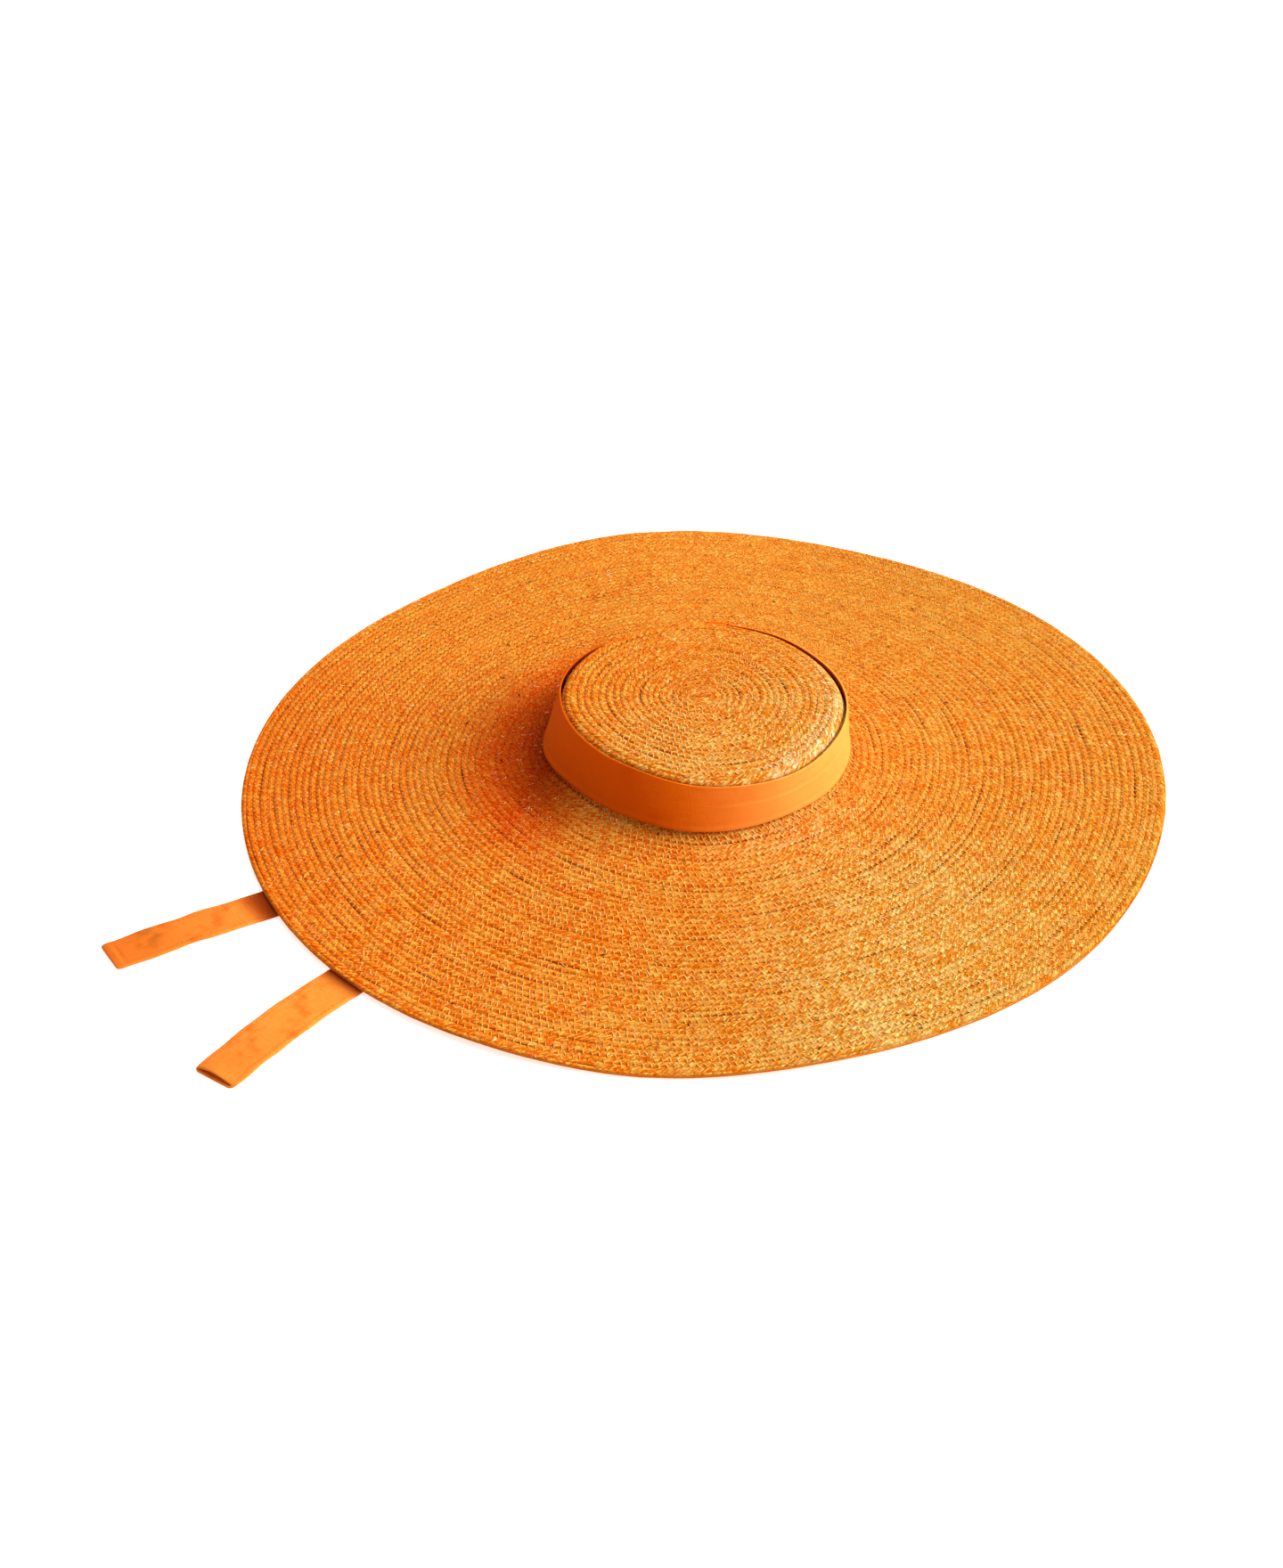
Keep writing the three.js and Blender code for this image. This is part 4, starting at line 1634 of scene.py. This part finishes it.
@dataclass
class Tie:
    """A linen tie: a flat sleeve of two layers, edge-stitched along both sides."""

    name: str
    form: HatForm
    width: float
    root: float  # azimuth of the sewn end, in degrees
    route: tuple[tuple[float, float], ...]  # plan points from there to the free end
    end: TieEnd
    seed: int
    thickness: float = 1.6
    cloth: float = 0.45
    root_radius: float = 97
    seat_end: float = 122  # radius where the tie leaves the brim's underside
    floor_start: float = 182
    loose: tuple[float, float] = (60, 110)  # lengths between which the tie comes loose of the brim
    unevenness: float = 0.6
    wrinkling: float = 0.55
    wrinkle_slant: float = 0.8
    sagging: float = 0.5
    sag_slant: float = -0.5
    waving: float = 0.5
    step: float = 2.0
    points: int = 17  # across one layer
    turn_points: int = 4  # round one edge
    fine_end: float = 24  # length at the free end with finer rings
    fine_rings: int = 25
    mouth_gape: float = 2.1
    mouth_start: float = 16
    mouth_depth: float = 15
    mouth_rings: int = 12
    lip_back: float = 1.8  # how far the mouth's upper layer stops short of the lower one
    lip_start: float = 9
    # Each fold of the shut end's hem: its length from the end, its reach, and how far it stands out.
    end_folds: tuple[tuple[float, float, float], ...] = ((1.6, 1.5, 0.55), (4.6, 1.1, -0.35))
    end_swell: float = 0.2
    end_swell_start: float = 20
    end_swell_full: float = 6
    tuck: float = 2.2  # radius of the shut end's turn
    tuck_start: float = 20
    tuck_rings: int = 4
    margin: float = 3.0  # from the edge to the edge stitching
    quilting: float = 0.22  # how deep the stitching draws the cloth in
    quilt_reach: float = 0.55
    edge_ridge: float = 0.12
    ridge_inset: float = 1.2
    ridge_reach: float = 0.9
    stitch_pitch: float = 3.1
    stitch_length: float = 2.3
    stitch_radius: float = 0.28
    stitch_rise: float = 0.32
    stitch_sunk: float = 0.3
    stitched_from: float = 4  # the rows start this far from the sewn end
    stitched_to: float = 3  # and stop this far from the free end

    def __post_init__(self) -> None:
        """Lays out the tie's middle line in plan."""
        start = math.radians(self.root)
        sewn = (self.root_radius * math.cos(start), self.root_radius * math.sin(start))
        self.line = self.smooth_line(np.array([sewn, *self.route]))
        self.way = np.append(0, np.cumsum(np.linalg.norm(np.diff(self.line, axis=0), axis=1)))
        self.wrinkle = Wander(self.seed, 17)
        self.edge_wave = Wander(self.seed + 1, 13)
        self.sag = Wander(self.seed + 2, 41)

    @staticmethod
    def smooth_line(stops: np.ndarray, steps: int = 60) -> np.ndarray:
        """A smooth line through its stops, each bend shared out by the distance between them.

        Args:
            stops: the plan points that it passes.
            steps: points from one stop to the next.

        Returns:
            The line's points.
        """
        ahead = np.vstack([2 * stops[0] - stops[1], stops, 2 * stops[-1] - stops[-2]])
        parts = []
        for p0, p1, p2, p3 in zip(ahead, ahead[1:], ahead[2:], ahead[3:]):
            a, b, c = (math.sqrt(np.linalg.norm(q - p)) for p, q in ((p0, p1), (p1, p2), (p2, p3)))
            leave = b * ((p1 - p0) / a - (p2 - p0) / (a + b) + (p2 - p1) / b)
            reach = b * ((p2 - p1) / b - (p3 - p1) / (b + c) + (p3 - p2) / c)
            t = np.linspace(0, 1, steps)[:, None]
            square, cube = 3 * (p2 - p1) - 2 * leave - reach, 2 * (p1 - p2) + leave + reach
            parts.append(p1 + leave * t + square * t**2 + cube * t**3)
        line = np.concatenate(parts)
        fresh = np.append(True, np.linalg.norm(np.diff(line, axis=0), axis=1) > 1e-6)
        return line[fresh]

    @property
    def length(self) -> float:
        """Length of the tie from its sewn end to its free end."""
        return float(self.way[-1])

    def on_line(self, along: np.ndarray) -> np.ndarray:
        """The middle line's plan point at each length."""
        return np.stack([np.interp(along, self.way, self.line[:, k]) for k in (0, 1)], axis=-1)

    def plan(self, along: np.ndarray) -> tuple[np.ndarray, np.ndarray]:
        """Follows the tie's middle line in plan.

        Args:
            along: length from the sewn end.

        Returns:
            The plan point and the heading at each length.
        """
        heading = self.on_line(along + 1) - self.on_line(along - 1)
        return self.on_line(along), heading / np.linalg.norm(heading, axis=-1, keepdims=True)

    def rest_height(self, x: np.ndarray, y: np.ndarray) -> np.ndarray:
        """Lays the tie against the brim's underside, then down to the floor.

        Args:
            x: plan place of each point.
            y: plan place of each point.

        Returns:
            The height of the cloth's middle.
        """
        radius = np.hypot(x, y)
        under = self.form.brim_height(np.arctan2(y, x), radius) - self.form.straw - self.form.clear
        fall = smoothstep(radius, self.seat_end, self.floor_start)
        return lerp(under - self.thickness / 2, self.thickness / 2, fall)

    def place(self, along: np.ndarray, across: np.ndarray, height: np.ndarray) -> np.ndarray:
        """Places points on the tie.

        Args:
            along: length from the sewn end.
            across: distance from the middle line.
            height: distance from the middle of the cloth, upwards.

        Returns:
            The points, with x, y and z last.
        """
        along, across, height = np.broadcast_arrays(along, across, height)
        at, heading = self.plan(along)
        x = at[..., 0] - heading[..., 1] * across
        y = at[..., 1] + heading[..., 0] * across
        wrinkles = self.wrinkling * (1 + self.wrinkle(along + self.wrinkle_slant * across))
        waves = wrinkles + self.sagging * (1 + self.sag(along + self.sag_slant * across))
        rise = self.unevenness * smoothstep(along, *self.loose) * waves
        return np.stack([x, y, self.rest_height(x, y) + height + rise], axis=-1)

    @property
    def corner(self) -> float:
        """Radius of the mouth's corners in plan, or of the turn into a shut end."""
        return 3.4 if self.end is TieEnd.OPEN_MOUTH else 0.6

    def gape(self, along: np.ndarray) -> np.ndarray:
        """Works out how far the two layers stand apart, beyond lying flat.

        Args:
            along: length from the sewn end.

        Returns:
            The distance at each length.
        """
        left = self.length - along
        if self.end is TieEnd.OPEN_MOUTH:
            return self.mouth_gape * smoothstep(-left, -self.mouth_start, 0)
        hem = sum(out * bell(left, middle, reach) for middle, reach, out in self.end_folds)
        return hem + self.end_swell * smoothstep(-left, -self.end_swell_start, -self.end_swell_full)

    def lip(self, along: np.ndarray, height: np.ndarray) -> np.ndarray:
        """Draws the mouth's upper layer back from the lower one.

        Args:
            along: lengths, one for each ring.
            height: the height of each ring point.

        Returns:
            How far each ring point is drawn back, as a negative length.
        """
        if self.end is TieEnd.SEWN_SHUT:
            return np.zeros_like(height)
        back = smoothstep(along, self.length - self.lip_start, self.length)
        return -self.lip_back * back[:, None] * (height > 0)

    def section(self, along: np.ndarray, shrink: float, gape: np.ndarray) -> tuple[np.ndarray, ...]:
        """One ring's across and height at each length.

        Args:
            along: lengths, one for each ring.
            shrink: how far inside the cloth's outer face the ring lies.
            gape: how far the two layers stand apart, beyond lying flat.

        Returns:
            The across and the height of each ring point.
        """
        spread = np.linspace(-1, 1, self.points)
        rounded = np.clip(1 - (self.length - along) / self.corner, 0, 1)
        drawn_in = self.corner * (1 - np.sqrt(1 - 0.9 * rounded**2))
        half = self.width / 2 + self.waving * self.edge_wave(along) - shrink - drawn_in
        half_thick = self.thickness / 2 - shrink
        inset = self.width / 2 - self.margin
        across = spread[None] * (half - half_thick)[:, None]
        quilt = -self.quilting * bell(np.abs(across), inset, self.quilt_reach)
        quilt += self.edge_ridge * bell(np.abs(across), half[:, None] - self.ridge_inset, self.ridge_reach)
        puff = np.cos(spread * math.pi / 2)[None] * gape[:, None]
        upper = half_thick + quilt + puff
        lower = np.full_like(upper, -half_thick)
        turn = np.linspace(0, math.pi, self.turn_points + 2)[1:-1][None]
        right = (half - half_thick)[:, None] + half_thick * np.sin(turn)
        rim = np.broadcast_to(half_thick * np.cos(turn), right.shape)
        ring_across = np.concatenate([across, right, across[:, ::-1], -right], axis=1)
        ring_height = np.concatenate([upper, rim, lower, -rim], axis=1)
        return ring_across, ring_height

    def opened(self, lengths: np.ndarray, across: np.ndarray, height: np.ndarray) -> tuple[np.ndarray, ...]:
        """Carries the sleeve back inside its open mouth.

        Args:
            lengths: the length of each ring point.
            across: the distance of each ring point from the middle line.
            height: the height of each ring point.

        Returns:
            The same three with the inner rings added.
        """
        deep = np.linspace(self.length, self.length - self.mouth_depth, self.mouth_rings)
        inner_across, inner_height = self.section(deep, self.cloth, self.gape(deep))
        inner_lengths = deep[:, None] + self.lip(deep, inner_height)
        added = (inner_lengths, inner_across, inner_height)
        return tuple(np.vstack(pair) for pair in zip((lengths, across, height), added))

    def tucked(self, lengths: np.ndarray, across: np.ndarray, height: np.ndarray) -> tuple[np.ndarray, ...]:
        """Rounds off a shut end, and draws the sleeve back so that the tie keeps its length.

        Args:
            lengths: the length of each ring point.
            across: the distance of each ring point from the middle line.
            height: the height of each ring point.

        Returns:
            The same three with the end's rings added.
        """
        corner = np.linspace(0, math.pi / 2, self.tuck_rings + 1)[1:, None]
        end_across = across[-1:] * (1 - self.tuck * (1 - np.cos(corner)) / (self.width / 2))
        end_height = height[-1:] * np.cos(corner * 0.8)
        end_lengths = np.broadcast_to(self.length + self.tuck * np.sin(corner) - self.tuck, end_across.shape)
        drawn = lengths - self.tuck * smoothstep(lengths, self.length - self.tuck_start, self.length)
        added = (end_lengths, end_across, end_height)
        return tuple(np.vstack(pair) for pair in zip((drawn, across, height), added))

    def piece(self, material: bpy.types.Material) -> bpy.types.Object:
        """Makes the tie.

        Args:
            material: its finish.

        Returns:
            The new object.
        """
        fine = self.length - self.fine_end
        coarse = np.linspace(0, fine, int(fine / self.step), endpoint=False)
        along = np.append(coarse, np.linspace(fine, self.length, self.fine_rings))
        across, height = self.section(along, 0.0, self.gape(along))
        lengths = along[:, None] + self.lip(along, height)
        finished = self.opened if self.end is TieEnd.OPEN_MOUTH else self.tucked
        lengths, across, height = finished(lengths, across, height)
        rings = self.place(lengths, across, height)
        pattern = np.stack([lengths, across, np.zeros_like(across)], axis=-1)
        return swept_piece(self.name, rings, material, pattern)

    def stitches(self, material: bpy.types.Material) -> bpy.types.Object:
        """Makes the two rows of edge stitching.

        Args:
            material: the thread's finish.

        Returns:
            The new object.
        """
        start = np.arange(self.stitched_from, self.length - self.stitched_to, self.stitch_pitch)
        share = np.linspace(0, 1, 4)[None, :, None]
        corner = np.array([0, TAU / 3, 2 * TAU / 3])[None, None]
        along, corner = np.broadcast_arrays(start[:, None, None] + self.stitch_length * share, corner)
        level = self.thickness / 2 - self.stitch_sunk + self.stitch_rise * np.sin(share * math.pi)
        height = level + self.stitch_radius * np.cos(corner)
        inset, aside = self.width / 2 - self.margin, self.stitch_radius * np.sin(corner)
        rings = np.concatenate([self.place(along, side * inset + aside, height) for side in (-1, 1)])
        pattern = np.stack([along, np.zeros_like(along), np.zeros_like(along)], axis=-1)
        return swept_piece(f"{self.name}_stitching", rings, material, np.concatenate([pattern, pattern]))


@dataclass
class LinenTrim:
    """The band and both ties."""

    form: HatForm

    def ties(self) -> tuple[Tie, Tie]:
        """Lays out both ties.

        Returns:
            The left and the right tie, as they lie.
        """
        left = ((-178, -72.5), (-264.7, -118.5), (-310, -141), (-355, -166))
        right = ((-142, -128), (-211.9, -192), (-248.2, -231.3), (-283.4, -277.6))
        return (
            Tie("linen_tie_left", self.form, 27, root=198, route=left, end=TieEnd.SEWN_SHUT, seed=51),
            Tie("linen_tie_right", self.form, 30, root=224, route=right, end=TieEnd.OPEN_MOUTH, seed=61),
        )

    def build(self) -> None:
        band_linen = LinenFinish("band_linen", Weave.BAND, "F47A10", "EE6E08", "E25C00").material()
        tie_linen = LinenFinish("tie_linen", Weave.TIE, "EE8E3A", "E88028", "D65E10").material()
        thread = ThreadFinish("tie_thread", light="D87826", deep="B85A0C").material()
        band = settle_piece(HatBand(self.form).piece(band_linen))
        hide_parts("hat_band")
        for tie, node in zip(self.ties(), ("tie_left", "tie_right")):
            strap = settle_piece(tie.piece(tie_linen))
            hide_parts(node)
            rows = settle_piece(tie.stitches(thread))


# ---- studio ----


@dataclass
class Studio:
    """A pale floor, soft light from the right and above, and the camera."""

    target: tuple[float, float, float] = (-38.3, -3.0, 0.0)
    distance: float = 2000
    elevation: float = math.radians(35.49)
    roll: float = math.radians(-1.65)
    lens: float = 72.72
    floor_side: float = 12.0  # in metres, as is the floor's drop
    floor_drop: float = 0.0003
    room_light: tuple[float, float, float, float] = (1, 0.9, 0.78, 1)
    room_strength: float = 0.4

    def floor(self) -> None:
        """Lays the floor just under the hat."""
        bpy.ops.mesh.primitive_plane_add(size=self.floor_side, location=(0, 0, -self.floor_drop))
        floor = bpy.context.object
        floor.name = "floor"
        floor.data.materials.append(FloorFinish().material())

    def lamp(self, name: str, place: tuple[float, float, float], size: float, watts: float) -> None:
        """Hangs a soft square lamp that faces the hat.

        Args:
            name: the lamp's name.
            place: where it hangs, in metres.
            size: the length of its side, in metres.
            watts: its power.
        """
        light = bpy.data.lights.new(name, "AREA")
        light.size = size
        light.energy = watts
        lamp = bpy.data.objects.new(name, light)
        lamp.location = place
        lamp.rotation_euler = (-Vector(place)).to_track_quat("-Z", "Y").to_euler()
        bpy.context.scene.collection.objects.link(lamp)

    def light(self) -> None:
        """Sets the room's light and the lamps."""
        world = bpy.data.worlds.new("white_room")
        world.use_nodes = True
        background = world.node_tree.nodes["Background"]
        background.inputs["Color"].default_value = self.room_light
        background.inputs["Strength"].default_value = self.room_strength
        bpy.context.scene.world = world
        self.lamp("key", place=(4.6, -0.3, 2.5), size=3.4, watts=536)
        self.lamp("above", place=(0.2, 0.1, 2.0), size=1.6, watts=22)

    def camera(self) -> None:
        """Aims the camera down at the hat."""
        side = Vector((1, 0, 0))
        back = Vector((0, -math.cos(self.elevation), math.sin(self.elevation)))
        up = Vector((0, math.sin(self.elevation), math.cos(self.elevation)))
        right = side * math.cos(self.roll) + up * math.sin(self.roll)
        top = up * math.cos(self.roll) - side * math.sin(self.roll)
        data = bpy.data.cameras.new("camera")
        data.lens = self.lens
        camera = bpy.data.objects.new("camera", data)
        place = (Vector(self.target) + back * self.distance) * MM
        camera.matrix_world = Matrix.Translation(place) @ Matrix((right, top, back)).transposed().to_4x4()
        bpy.context.scene.collection.objects.link(camera)
        bpy.context.scene.camera = camera

    def build(self) -> None:
        """Builds the whole studio."""
        self.floor()
        self.light()
        self.camera()
        bpy.context.scene.view_settings.view_transform = "Standard"


def corners(box: tuple[Vector, Vector]) -> list[list[float]]:
    """A box's two corners as plain lists."""
    return [list(corner) for corner in box]


def main() -> None:
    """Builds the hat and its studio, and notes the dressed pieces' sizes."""
    logging.basicConfig(level=logging.INFO, format="%(message)s")
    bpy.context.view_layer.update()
    form = HatForm.from_frame()
    StrawBody(form).build()
    LinenTrim(form).build()
    Studio().build()


if __name__ == "__main__":
    main()
